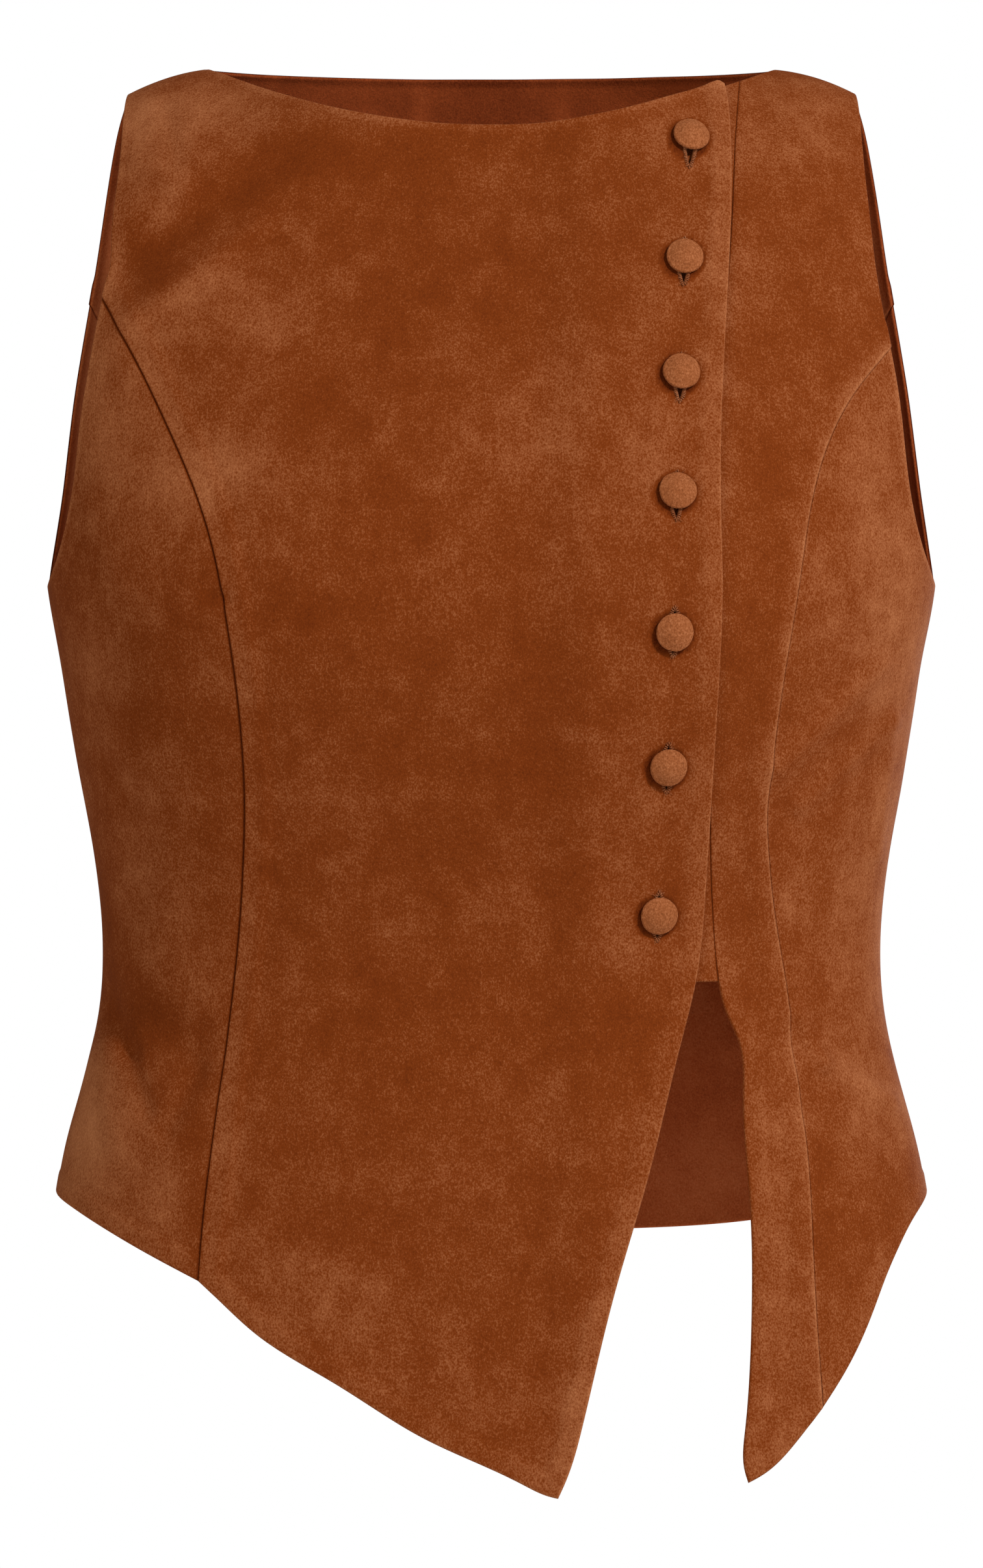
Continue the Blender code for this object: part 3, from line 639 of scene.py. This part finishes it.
def front_panels():
    """Edges of the front panels as stretches of a kind. Each edge rises or turns to the left, and first and
    last are the sides met while turning."""
    right_armhole = tuple((-width, height) for width, height in FRONT_ARMHOLE)
    right_upper, right_lower = split(traced(right_armhole), RIGHT_SEAM_TOP)
    left_upper, left_lower = split(traced(FRONT_ARMHOLE), LEFT_SEAM_TOP)
    right_seam = shaped_seam(right_upper, RIGHT_FRONT_SEAM)
    left_seam = shaped_seam(left_upper, LEFT_FRONT_SEAM)
    right_foot = RIGHT_FRONT_SEAM[-1]
    left_foot = LEFT_FRONT_SEAM[-1]
    stand_seam = traced((STAND_FOOT,) + STAND_SEAM[::-1] + (STAND_TOP,))
    right_neck = neckline_path(-NECK_END, RIGHT_CORNER[0] - CORNER_ROUND, CORNER_RISE)
    right_neck = np.vstack([right_neck, path_through(*zip(RIGHT_CORNER))])
    left_neck = neckline_path(STAND_TOP[0], NECK_END)
    left_neck[0] = stand_seam[-1]
    stand_widths = on_form(stand_seam)[:, 0] - STAND_WIDTH
    stand_neck = neckline_path(stand_widths[-1], STAND_TOP[0])
    stand_neck[-1] = stand_seam[-1]
    drop = stand_seam[-1, 1] - stand_neck[0, 1]
    hidden = path_through(stand_widths, stand_seam[:, 1] - np.linspace(0, drop, TRACE_POINTS))
    hidden[-1] = stand_neck[0]
    return {
        "right_front": {
            "bottom": [(HEM, traced((right_foot,) + RIGHT_HEM + (RIGHT_TIP,)))],
            "top": [(UNDER, mirrored(shoulder_path())[::-1]), (EDGE, right_neck)],
            "first": [(OVER, right_seam), (EDGE, right_upper[::-1])],
            "last": [(HEM, traced((RIGHT_TIP,) + CLOSURE_EDGE[::-1] + (RIGHT_CORNER,)))],
        },
        "right_front_side": {
            "bottom": [(HEM, traced(((-SIDE, SIDE_HEM),) + RIGHT_SIDE_HEM + (right_foot,)))],
            "top": [(EDGE, right_lower[::-1])],
            "first": [(UNDER, side_seam(-math.pi / 2))],
            "last": [(UNDER, right_seam)],
        },
        "left_front": {
            "bottom": [(HEM, traced((LEFT_TIP,) + LEFT_HEM + (left_foot,)))],
            "top": [(EDGE, left_neck), (UNDER, shoulder_path())],
            "first": [(HEM, traced((LEFT_TIP,) + FREE_EDGE[::-1] + (STAND_FOOT,))), (UNDER, stand_seam)],
            "last": [(OVER, left_seam), (EDGE, left_upper[::-1])],
        },
        "left_front_side": {
            "bottom": [(HEM, traced((left_foot,) + LEFT_SIDE_HEM + ((SIDE, SIDE_HEM),)))],
            "top": [(EDGE, left_lower)],
            "first": [(UNDER, left_seam)],
            "last": [(UNDER, side_seam(math.pi / 2))],
        },
        "button_stand": {
            "bottom": [(EDGE, np.linspace(hidden[0], stand_seam[0], TRACE_POINTS))],
            "top": [(EDGE, stand_neck)],
            "first": [(EDGE, hidden)],
            "last": [(UNDER, stand_seam)],
        },
    }


def back_panels():
    """Edges of the back panels, as for the front."""
    upper, lower = split(traced(BACK_ARMHOLE, behind=True), BACK_SEAM_TOP)
    back_seam = shaped_seam(upper, BACK_SEAM, behind=True)
    shoulder = shoulder_path(behind=True)
    hem = traced(BACK_HEM, behind=True)[::-1]
    foot = int(np.argmin(np.abs(hem[:, 0] - back_seam[0, 0])))
    hem[foot] = back_seam[0]
    side_hem = hem[:foot + 1]
    middle_hem = joined(hem[foot:], round_back(hem[foot:])[::-1])
    widths = NECK_END * np.cos(np.linspace(0, math.pi, TRACE_POINTS))
    heights = BACK_NECK_HEIGHT - (BACK_NECK_HEIGHT - NECK_END_HEIGHT) * (widths / NECK_END) ** 2
    neck = path_through(widths, heights, behind=True)
    neck[:, 0] %= 2 * math.pi
    neck[0] = shoulder[0]
    neck[-1] = round_back(shoulder[0])
    rise = upper[::-1]
    return {
        "back_centre": {
            "bottom": [(HEM, middle_hem)],
            "top": [(UNDER, shoulder[::-1]), (EDGE, neck), (UNDER, round_back(shoulder))],
            "first": [(OVER, back_seam), (EDGE, rise)],
            "last": [(OVER, round_back(back_seam)), (EDGE, round_back(rise))],
        },
        "back_side_left": {
            "bottom": [(HEM, side_hem)],
            "top": [(EDGE, lower[::-1])],
            "first": [(UNDER, side_seam(math.pi / 2))],
            "last": [(UNDER, back_seam)],
        },
        "back_side_right": {
            "bottom": [(HEM, round_back(side_hem)[::-1])],
            "top": [(EDGE, round_back(lower))],
            "first": [(UNDER, round_back(back_seam))],
            "last": [(UNDER, side_seam(1.5 * math.pi))],
        },
    }


def whole(stretches):
    """One path through all the stretches of an edge."""
    path = stretches[0][1]
    for _, stretch in stretches[1:]:
        path = joined(path, stretch)
    return path


def grid_shares(*edges):
    """Shares along the longest of some edges, close together near both ends and even between."""
    length = max(marks_along(on_form(whole(edge)))[-1] for edge in edges)
    border = BORDER_STEPS[:-1]
    reach = BORDER_STEPS[-1]
    middle = np.linspace(reach, length - reach, int(length / GRID_STEP))
    return np.concatenate([border, middle, length - border[::-1]]) / length


def cloth_grid(edges):
    """Grid of (angle, height) points that fills the four edges of a panel, rows rising."""
    across = grid_shares(edges["bottom"], edges["top"])
    up = grid_shares(edges["first"], edges["last"])
    bottom, top = (spaced(whole(edges[side]), across)[None] for side in ("bottom", "top"))
    first, last = (spaced(whole(edges[side]), up)[:, None] for side in ("first", "last"))
    across = across[None, :, None]
    up = up[:, None, None]
    bows = [end - (1 - across) * end[:, :1] - across * end[:, -1:] for end in (bottom, top)]
    grid = (1 - across) * first + across * last + (1 - up) * bows[0] + up ** TOP_HOLD * bows[1]
    borders = {"bottom": grid[0], "top": grid[-1], "first": grid[:, 0], "last": grid[:, -1]}
    for side, border in borders.items():
        for _, stretch in edges[side][:-1]:
            away = np.linalg.norm(on_form(border) - on_form(stretch[-1]), axis=1)
            border[np.argmin(away)] = stretch[-1]
    return grid


def distance_to(kind, edges, points):
    """Distance of every point of a grid from the panel's nearest stretch of a kind."""
    flat = points.reshape(-1, 3)
    nearest = np.full(len(flat), SIDE)
    for stretches in edges.values():
        for line in (on_form(path) for stretch, path in stretches if stretch == kind):
            tree = KDTree(len(line))
            for number, point in enumerate(line):
                tree.insert(point, number)
            tree.balance()
            found = np.array([tree.find(point)[1] for point in flat])
            for begin in (found - 1, found):
                begin = np.clip(begin, 0, len(line) - 2)
                run = line[begin + 1] - line[begin]
                off = flat - line[begin]
                share = np.clip(np.sum(off * run, axis=1) / np.sum(run * run, axis=1), 0, 1)
                nearest = np.minimum(nearest, np.linalg.norm(off - share[:, None] * run, axis=1))
    return np.maximum(nearest - TOUCHING, 0).reshape(points.shape[:2])


def overlap_lift(width):
    """How far the overlapping front stands off the form at a width."""
    start, end = OVERLAP_RAMP
    return OVERLAP_LIFT * eased((width - start) / (end - start))


def wave_table():
    """Directions, lengths and phases of the slight unevenness of the cloth."""
    random = np.random.default_rng(WAVES["seed"])
    directions = unit(random.normal(size=(WAVES["count"], 3)))
    lengths = np.geomspace(WAVES["shortest"], WAVES["longest"], WAVES["count"])
    phases = random.uniform(0, 2 * math.pi, WAVES["count"])
    return list(zip(directions, lengths, phases))


WAVE_TABLE = wave_table()


def cloth_rise(form, path, lapped):
    """Outward rise of the cloth off the form: unevenness, small creases and the lap of the right front."""
    rise = np.zeros(form.shape[:-1])
    for direction, length, phase in WAVE_TABLE:
        rise += WAVES["share"] * length * np.sin(2 * math.pi * (form @ direction) / length + phase)
    ahead = np.cos(path[..., 0])
    creases = np.where(ahead > 0, fold_rise(FRONT_CREASES, form[..., 0], form[..., 2]),
                       fold_rise(BACK_CREASES, form[..., 0], form[..., 2]))
    rise += eased(np.abs(ahead) / SIDE_FADE) * creases
    if lapped:
        off_line = form[..., 0] - button_width_at(form[..., 2])
        below_last = eased((form[..., 2] - BUTTONS[-1][1]) / (2 * BUTTON_RADIUS) + 1)
        rise += BUTTON_LINE["rise"] * below_last * np.exp(-(off_line / BUTTON_LINE["half width"]) ** 2)
        rise += overlap_lift(form[..., 0])
    return rise


def rolled(away, radius):
    """Depth of a rounded edge at a distance from it."""
    return radius - np.sqrt(radius ** 2 - np.maximum(radius - away, 0) ** 2)


def banded(away, band):
    """Size of a band up to its reach, easing to 0 over its fade."""
    return band.size * (1 - eased((away - band.reach) / band.fade))


def patch_tone(patches, width, height):
    """Lightness of the patches of a table at points seen from the front: brushed nap, and painted light and
    shade.
    """
    tone = np.zeros_like(width)
    for centre_w, centre_h, half_w, half_h, turn, strength in patches:
        cosine = math.cos(math.radians(turn))
        sine = math.sin(math.radians(turn))
        along = ((width - centre_w) * cosine + (height - centre_h) * sine) / half_w
        across = ((height - centre_h) * cosine - (width - centre_w) * sine) / half_h
        tone += strength * np.exp(-along ** 2 - across ** 2)
    return tone


def face_tone(name, path, form, away):
    """Lightness of the face of a panel: brushed patches with painted light and shade, worn edges with
    painted highlights, painted shade at seams and painted shadows under the buttons.
    """
    width = form[..., 0]
    height = form[..., 2]
    front = patch_tone(FRONT_PATCHES, width, height)
    back = patch_tone(BACK_PATCHES, width, height)
    tone = np.where(np.cos(path[..., 0]) > 0, front, back)
    for panel, kind, *band in WORN_AND_PAINTED_LIGHT_BANDS:
        if panel in (name, name.split("_")[0], "every"):
            tone += banded(away[kind], Band(*band))
    # painted shadow under each button of the right front
    if name == "right_front":
        aside_w, aside_h = PAINTED_SHADOW_ASIDE
        for button_w, button_h, _ in BUTTONS:
            off = np.hypot(width - button_w - aside_w, height - button_h - aside_h)
            tone += banded(off, BUTTON_PAINTED_SHADOW)
    return tone


def reverse_tone(path, form, away):
    """Lightness of the reverse of a panel, uneven on the back only: patches of painted light and shade, and
    painted shade along its bare edges.
    """
    tone = patch_tone(INSIDE_PAINTED_LIGHT_PATCHES, form[..., 0], form[..., 2]) + banded(away[EDGE], INSIDE_EDGE_PAINTED_SHADE)
    return tone * (np.cos(path[..., 0]) < 0)


def quads(index):
    """Faces between neighbours in a grid of vertex numbers."""
    corners = [index[:-1, :-1], index[:-1, 1:], index[1:, 1:], index[1:, :-1]]
    return np.stack(corners, axis=-1).reshape(-1, 4)


def add_object(name, data):
    made = bpy.data.objects.new(name, data)
    bpy.context.scene.collection.objects.link(made)
    return made


def add_piece(name, points, faces, materials, slots=None, tone=None):
    """New smooth mesh object from points in millimetres."""
    mesh = bpy.data.meshes.new(name)
    mesh.from_pydata((np.asarray(points) * MILLIMETRE).tolist(), [], [list(face) for face in faces])
    for each in materials:
        mesh.materials.append(each)
    if slots is not None:
        mesh.polygons.foreach_set("material_index", slots)
    if tone is not None:
        mesh.attributes.new("tone", "FLOAT", "POINT").data.foreach_set("value", tone.astype(np.float32))
    mesh.shade_smooth()
    return add_object(name, mesh)


def add_panel(name, edges, materials):
    """Cloth panel: a closed shell on the form with rounded edges, its face and its reverse."""
    path = cloth_grid(edges)
    form = on_form(path)
    out = outward(path)
    away = {kind: distance_to(kind, edges, form) for kind in (OVER, UNDER, HEM, EDGE)}
    rise = cloth_rise(form, path, name == "right_front")
    raised = np.maximum(banded(away[HEM], PRESSED_HEM), banded(away[OVER], SEAM_TURNING))
    face_rolls = {OVER: SEAM_DEPTH + SEAM_TURNING.size, UNDER: SEAM_DEPTH,
                  HEM: EDGE_ROLL + PRESSED_HEM.size / 2, EDGE: EDGE_ROLL}
    reverse_rolls = {**face_rolls, OVER: WALL - SEAM_DEPTH, UNDER: WALL - SEAM_DEPTH}
    face_drop = np.max([rolled(away[kind], radius) for kind, radius in face_rolls.items()], axis=0)
    reverse_drop = np.max([rolled(away[kind], radius) for kind, radius in reverse_rolls.items()], axis=0)
    outer = form + (rise + raised - face_drop)[..., None] * out
    inner = form + (rise - WALL + reverse_drop)[..., None] * out

    rows, columns = path.shape[:2]
    face = np.arange(rows * columns).reshape(rows, columns)
    reverse = face.copy()
    inside = np.s_[1:-1, 1:-1]
    reverse[inside] = rows * columns + np.arange((rows - 2) * (columns - 2)).reshape(rows - 2, columns - 2)
    points = np.vstack([outer.reshape(-1, 3), inner[inside].reshape(-1, 3)])
    faces = np.vstack([quads(face), quads(reverse)[:, ::-1]])
    slots = np.repeat([0, 1], (rows - 1) * (columns - 1))
    tone = np.concatenate([face_tone(name, path, form, away).ravel(),
                           reverse_tone(path, form, away)[inside].ravel()])
    piece = add_piece("suede_" + name, points, faces.tolist(), materials, slots, tone)
    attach(piece, BODY)
    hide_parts(name)
    return piece


def lapped_points(widths, heights, rises):
    """Points at rises off the face of the overlapping front."""
    path = path_through(widths, heights)
    form = on_form(path)
    rise = cloth_rise(form, path, True) + np.asarray(rises)
    return form + rise[:, None] * outward(path)


def hole_plane():
    """Directions across and up the line of buttonholes, as (width, height)."""
    up = unit(np.array(BUTTONS[0][:2]) - np.array(BUTTONS[-1][:2]))
    return np.array([up[1], -up[0]]), up


def hole_outline(count):
    """Points round the pointed slit of a buttonhole and their outward directions, as (across, up)."""
    share = np.linspace(-1, 1, count // 2, endpoint=False)
    share = np.concatenate([share, -share])
    side = np.repeat([1.0, -1.0], count // 2)
    points = np.stack([side * HOLE_WIDTH / 2 * (1 - share ** 2), HOLE_LENGTH / 2 * share], axis=-1)
    normals = np.stack([side * (1 - share ** HOLE_TURN), share ** (HOLE_TURN - 1)], axis=-1)
    return points, unit(normals)


def on_hole(number, local, rises):
    """Points on the overlapping front from places (across, up) in a buttonhole's own plane."""
    width, height, drop = BUTTONS[number]
    across, up = hole_plane()
    flat = np.array([width, height]) + local[:, :1] * across + (local[:, 1:] - drop) * up
    return lapped_points(flat[:, 0], flat[:, 1], rises)


def cut_buttonholes(front):
    """Cuts the slits through the overlapping front."""
    outline, _ = hole_outline(HOLE_POINTS)
    depth = np.full(HOLE_POINTS, 2 * OVERLAP_LIFT)
    rings = [on_hole(number, outline, rise) for number in range(len(BUTTONS)) for rise in (-depth, depth)]
    faces = tube_faces(len(BUTTONS), 2, HOLE_POINTS)
    cutter = add_piece("buttonhole_cutter", np.vstack(rings), faces, front.data.materials[:1])
    cut = front.modifiers.new("buttonholes", "BOOLEAN")
    cut.operation = "DIFFERENCE"
    cut.solver = "EXACT"
    cut.object = cutter
    evaluated = front.evaluated_get(bpy.context.evaluated_depsgraph_get())
    mesh = bpy.data.meshes.new_from_object(evaluated)
    front.modifiers.remove(cut)
    front.data = mesh
    bpy.data.objects.remove(cutter)


def tube_faces(tubes, points, sides):
    """Faces of joined tubes whose points are numbered tube by tube and ring by ring, with closed ends."""
    ring = np.arange(sides)
    faces = []
    for tube in range(tubes):
        base = tube * points * sides
        for k in range(points - 1):
            low = base + k * sides + ring
            high = low + sides
            faces.extend(np.stack([low, np.roll(low, -1), np.roll(high, -1), high], axis=-1).tolist())
        faces.append((base + ring[::-1]).tolist())
        faces.append((base + (points - 1) * sides + ring).tolist())
    return faces


def tube_points(lines, radius, sides):
    """Ring points round lines given as (line, point, 3)."""
    along = unit(np.gradient(lines, axis=1))
    aside = unit(np.cross(along, TUBE_SIDE))
    over = np.cross(along, aside)
    turns = np.linspace(0, 2 * math.pi, sides, endpoint=False)
    rings = np.cos(turns)[:, None] * aside[:, :, None] + np.sin(turns)[:, None] * over[:, :, None]
    return (lines[:, :, None] + radius * rings).reshape(-1, 3)


def add_buttonhole_stitches(material):
    """Stitched lips round every buttonhole, with a few frayed thread ends."""
    outline, normals = hole_outline(STITCH["count"])
    shares = np.linspace(0, 1, STITCH["points"])
    outs = STITCH["out"] * (1 - shares) - STITCH["inset"]
    lifts = STITCH["rise"] * np.sin(math.pi * np.minimum(shares / STITCH["arch"], 1)) ** STITCH["fullness"]
    lifts += STITCH["dip"] * eased((shares - STITCH["dip from"]) / (1 - STITCH["dip from"]))
    random = np.random.default_rng(FRAY["seed"])
    lines = []
    frays = []
    for number in range(len(BUTTONS)):
        for place, normal in zip(outline, normals):
            reach = random.uniform(*STITCH["longer"])
            local = place + (outs * reach)[:, None] * normal
            lines.append(on_hole(number, local, lifts * random.uniform(*STITCH["higher"])))
        for _ in range(FRAY["count"]):
            end = random.choice([-1.0, 1.0])
            aside = random.uniform(-FRAY["aside"], FRAY["aside"])
            start = np.array([aside, end * (HOLE_LENGTH / 2 - random.uniform(0, FRAY["inset"]))])
            turn = random.normal(0, FRAY["turn"])
            heading = np.array([math.sin(turn), end * math.cos(turn)])
            length = random.uniform(*FRAY["length"])
            local = start + (length * shares)[:, None] * heading
            local[:, 0] += random.normal(0, FRAY["bend"]) * shares ** 2
            rises = random.uniform(*FRAY["rise"]) * np.sin(FRAY["arch"] * math.pi * shares)
            frays.append(on_hole(number, local, FRAY["lift"] + rises))
    sides = STITCH["sides"]
    points = np.vstack([tube_points(np.array(lines), STITCH["radius"], sides),
                        tube_points(np.array(frays), FRAY["radius"], sides)])
    faces = tube_faces(len(lines) + len(frays), len(shares), sides)
    piece = add_piece("buttonhole_stitches", points, faces, [material])
    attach(piece, BODY)
    return piece


def button_profile():
    """Half section of a covered button as radii and levels, from its face down to its shank."""
    rim = CLEARANCE + BUTTON_HEIGHT - BUTTON_CROWN
    face = np.linspace(DOME["start"], DOME["end"], DOME["rings"])
    dome = rim + BUTTON_CROWN * (1 - (face / DOME["foot"]) ** DOME["power"])
    turns = np.radians(np.linspace(RIM["start"], RIM["end"], RIM["rings"]))
    edge = DOME["end"] + (1 - DOME["end"]) * np.cos(turns)
    half = (rim - CLEARANCE) / 2
    side = CLEARANCE + half + half * np.sin(turns)
    under = np.linspace(UNDERSIDE["start"], UNDERSIDE["end"], UNDERSIDE["rings"])
    hollow = CLEARANCE + UNDERSIDE["hollow"] * np.sin(np.linspace(0, math.pi, UNDERSIDE["rings"]))
    shank = SHANK_RADIUS * np.array([SHANK_TOP["flare"], 1, 1])
    shank_levels = CLEARANCE - np.array([0, SHANK_TOP["drop"], OVERLAP_LIFT])
    radii = np.concatenate([BUTTON_RADIUS * np.concatenate([face, edge, under]), shank])
    return radii, np.concatenate([dome, side, hollow, shank_levels])


def button_axes(width, height):
    """Place and directions of a button on the overlapping front, out of the cloth last."""
    path = np.array([angle_at(width, height), height])
    out = outward(path)
    point = on_form(path)
    point = point + overlap_lift(point[0]) * out
    _, closure = hole_plane()
    side = unit(np.cross([closure[0], 0.0, closure[1]], out))
    return point, side, np.cross(out, side), out


def waves_round(random, rows, turns, phases=2 * math.pi):
    """Sum of waves round a button from rows of (waves, size), each with its own phase."""
    return sum(size * np.sin(waves * turns + random.uniform(0, phases)) for waves, size in rows)


def add_button(number, material):
    """Button covered in suede, gathered under its rim."""
    width, height, _ = BUTTONS[number]
    random = np.random.default_rng(BUTTON_SEED + number)
    radii, levels = button_profile()
    turns = np.linspace(0, 2 * math.pi, BUTTON_SIDES, endpoint=False)
    lump = waves_round(random, BUTTON_LUMPS, turns)
    gathers = GATHERS["depth"] * np.cos(GATHERS["count"] * turns + random.uniform(0, 2 * math.pi))
    below = eased((CLEARANCE + GATHERS["height"] - levels) / GATHERS["height"]) * (radii > 2 * SHANK_RADIUS)
    outer = eased(radii / BUTTON_RADIUS)[:, None]
    radius = radii[:, None] * (1 + outer * lump) + below[:, None] * gathers
    level = levels[:, None] + outer * waves_round(random, BUTTON_SAGS, turns, SAG_PHASES)
    place, side, up, out = button_axes(width, height)
    rings = (place + (radius * np.cos(turns))[..., None] * side + (radius * np.sin(turns))[..., None] * up
             + level[..., None] * out)
    crown = place + (CLEARANCE + BUTTON_HEIGHT) * out
    points = np.vstack([rings.reshape(-1, 3), crown])
    top = len(points) - 1
    index = np.arange(top).reshape(-1, BUTTON_SIDES)
    index = np.hstack([index, index[:, :1]])
    faces = quads(index)[:, ::-1].tolist()
    faces += [[top, index[0, k], index[0, k + 1]] for k in range(BUTTON_SIDES)]
    faces.append(index[-1, :-1][::-1].tolist())
    piece = add_piece(f"covered_button_{number + 1}", points, faces, [material])
    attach(piece, BODY)
    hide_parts(f"button_{number + 1}")


def set_inputs(node, values):
    for name, value in values.items():
        node.inputs[name].default_value = value


def noise(tree, coordinates, scale, detail, stretch):
    """Noise of so many patches to a metre, drawn out up the garment where the stretch is below 1."""
    mapping = tree.nodes.new("ShaderNodeMapping")
    set_inputs(mapping, {"Scale": (1.0, 1.0, stretch)})
    tree.links.new(coordinates, mapping.inputs["Vector"])
    made = tree.nodes.new("ShaderNodeTexNoise")
    set_inputs(made, {"Scale": scale, "Detail": detail, "Roughness": NOISE_ROUGHNESS})
    tree.links.new(mapping.outputs["Vector"], made.inputs["Vector"])
    return made.outputs["Fac"]


def weighted(tree, start, terms):
    """Sum of a number and of weighted values."""
    total = start
    for socket, weight in terms:
        step = tree.nodes.new("ShaderNodeMath")
        step.operation = "MULTIPLY_ADD"
        tree.links.new(socket, step.inputs[0])
        step.inputs[1].default_value = weight
        if isinstance(total, float):
            step.inputs[2].default_value = total
        else:
            tree.links.new(total, step.inputs[2])
        total = step.outputs["Value"]
    return total


def nap_material(name, colours, mottle=1.0, grain=1.0, toned=True):
    """Suede: mottled, streaked where it is brushed, with a fine fibre grain and a soft sheen."""
    made = bpy.data.materials.new(name)
    made.use_nodes = True
    tree = made.node_tree
    shader = tree.nodes["Principled BSDF"]
    set_inputs(shader, SHEEN)
    coordinates = tree.nodes.new("ShaderNodeTexCoord").outputs["Object"]
    layers = {}
    terms = []
    for table, strength in ((MOTTLE, mottle), (GRAIN, grain)):
        for layer, (scale, detail, stretch, share) in table.items():
            layers[layer] = noise(tree, coordinates, scale, detail, stretch)
            terms.append((layers[layer], share * strength))
    middle = RAMP_MIDDLE - NOISE_MEAN * sum(weight for _, weight in terms)
    if toned:
        attribute = tree.nodes.new("ShaderNodeAttribute")
        attribute.attribute_name = "tone"
        terms.append((attribute.outputs["Fac"], 1.0))
    ramp = tree.nodes.new("ShaderNodeValToRGB")
    ramp.color_ramp.elements.new(RAMP_MIDDLE)
    for element, colour in zip(ramp.color_ramp.elements, colours):
        element.color = (*colour, 1.0)
    tree.links.new(weighted(tree, middle, terms), ramp.inputs["Fac"])
    tree.links.new(ramp.outputs["Color"], shader.inputs["Base Color"])
    rough = weighted(tree, ROUGHNESS["least"], [(layers["cloudy"], ROUGHNESS["spread"])])
    tree.links.new(rough, shader.inputs["Roughness"])
    bump = tree.nodes.new("ShaderNodeBump")
    set_inputs(bump, BUMP)
    pile = weighted(tree, 0.0, [(layers[layer], share) for layer, share in PILE.items()])
    tree.links.new(pile, bump.inputs["Height"])
    tree.links.new(bump.outputs["Normal"], shader.inputs["Normal"])
    return made


def aim(thing):
    """Turns a camera or a light towards the middle of the garment."""
    middle = Vector((0.0, 0.0, VIEW_HEIGHT * MILLIMETRE))
    thing.rotation_euler = (middle - thing.location).to_track_quat("-Z", "Y").to_euler()


def add_camera():
    data = bpy.data.cameras.new("camera")
    data.sensor_width = SENSOR
    data.lens = SENSOR * VIEW_DISTANCE / (IMAGE_HEIGHT * PIXEL)
    camera = add_object("camera", data)
    camera.location = (0.0, -VIEW_DISTANCE * MILLIMETRE, VIEW_HEIGHT * MILLIMETRE)
    aim(camera)
    bpy.context.scene.camera = camera


def add_lights():
    for name, place, size, watts, colour in LIGHTS:
        data = bpy.data.lights.new(name, "AREA")
        data.shape = "DISK"
        data.size = size
        data.energy = watts
        data.color = colour
        light = add_object(name, data)
        light.location = place
        aim(light)


def add_world():
    """White backdrop, and a dimmer white that lights the scene from all round."""
    world = bpy.data.worlds.new("studio")
    world.use_nodes = True
    bpy.context.scene.world = world
    tree = world.node_tree
    around = tree.nodes["Background"]
    set_inputs(around, {"Color": WHITE, "Strength": AMBIENT})
    seen = tree.nodes.new("ShaderNodeBackground")
    set_inputs(seen, {"Color": WHITE})
    rays = tree.nodes.new("ShaderNodeLightPath")
    mix = tree.nodes.new("ShaderNodeMixShader")
    tree.links.new(rays.outputs["Is Camera Ray"], mix.inputs["Fac"])
    tree.links.new(around.outputs["Background"], mix.inputs[1])
    tree.links.new(seen.outputs["Background"], mix.inputs[2])
    tree.links.new(mix.outputs["Shader"], tree.nodes["World Output"].inputs["Surface"])


def add_floor():
    """Plain pale floor, far below the hem."""
    half = FLOOR["half"]
    height = FLOOR["height"]
    corners = [(-half, -half, height), (half, -half, height), (half, half, height), (-half, half, height)]
    pale = bpy.data.materials.new("pale_floor")
    pale.use_nodes = True
    set_inputs(pale.node_tree.nodes["Principled BSDF"], FLOOR_LOOK)
    add_piece("floor", corners, [[0, 1, 2, 3]], [pale])


def add_garment():
    face = nap_material("suede_face", FACE_COLOURS)
    reverse = nap_material("suede_reverse", REVERSE_COLOURS_PAINTED_LIGHTER)
    covered = nap_material("button_suede", BUTTON_COLOURS, mottle=0.6, grain=1.7, toned=False)
    thread = nap_material("thread", THREAD_COLOURS, mottle=1.6, toned=False)
    panels = {name: add_panel(name, edges, [face, reverse])
              for name, edges in {**front_panels(), **back_panels()}.items()}
    cut_buttonholes(panels["right_front"])
    stitches = add_buttonhole_stitches(thread)
    for number in range(len(BUTTONS)):
        add_button(number, covered)


bpy.context.scene.view_settings.view_transform = "Standard"
add_camera()
add_lights()
add_world()
add_floor()
add_garment()
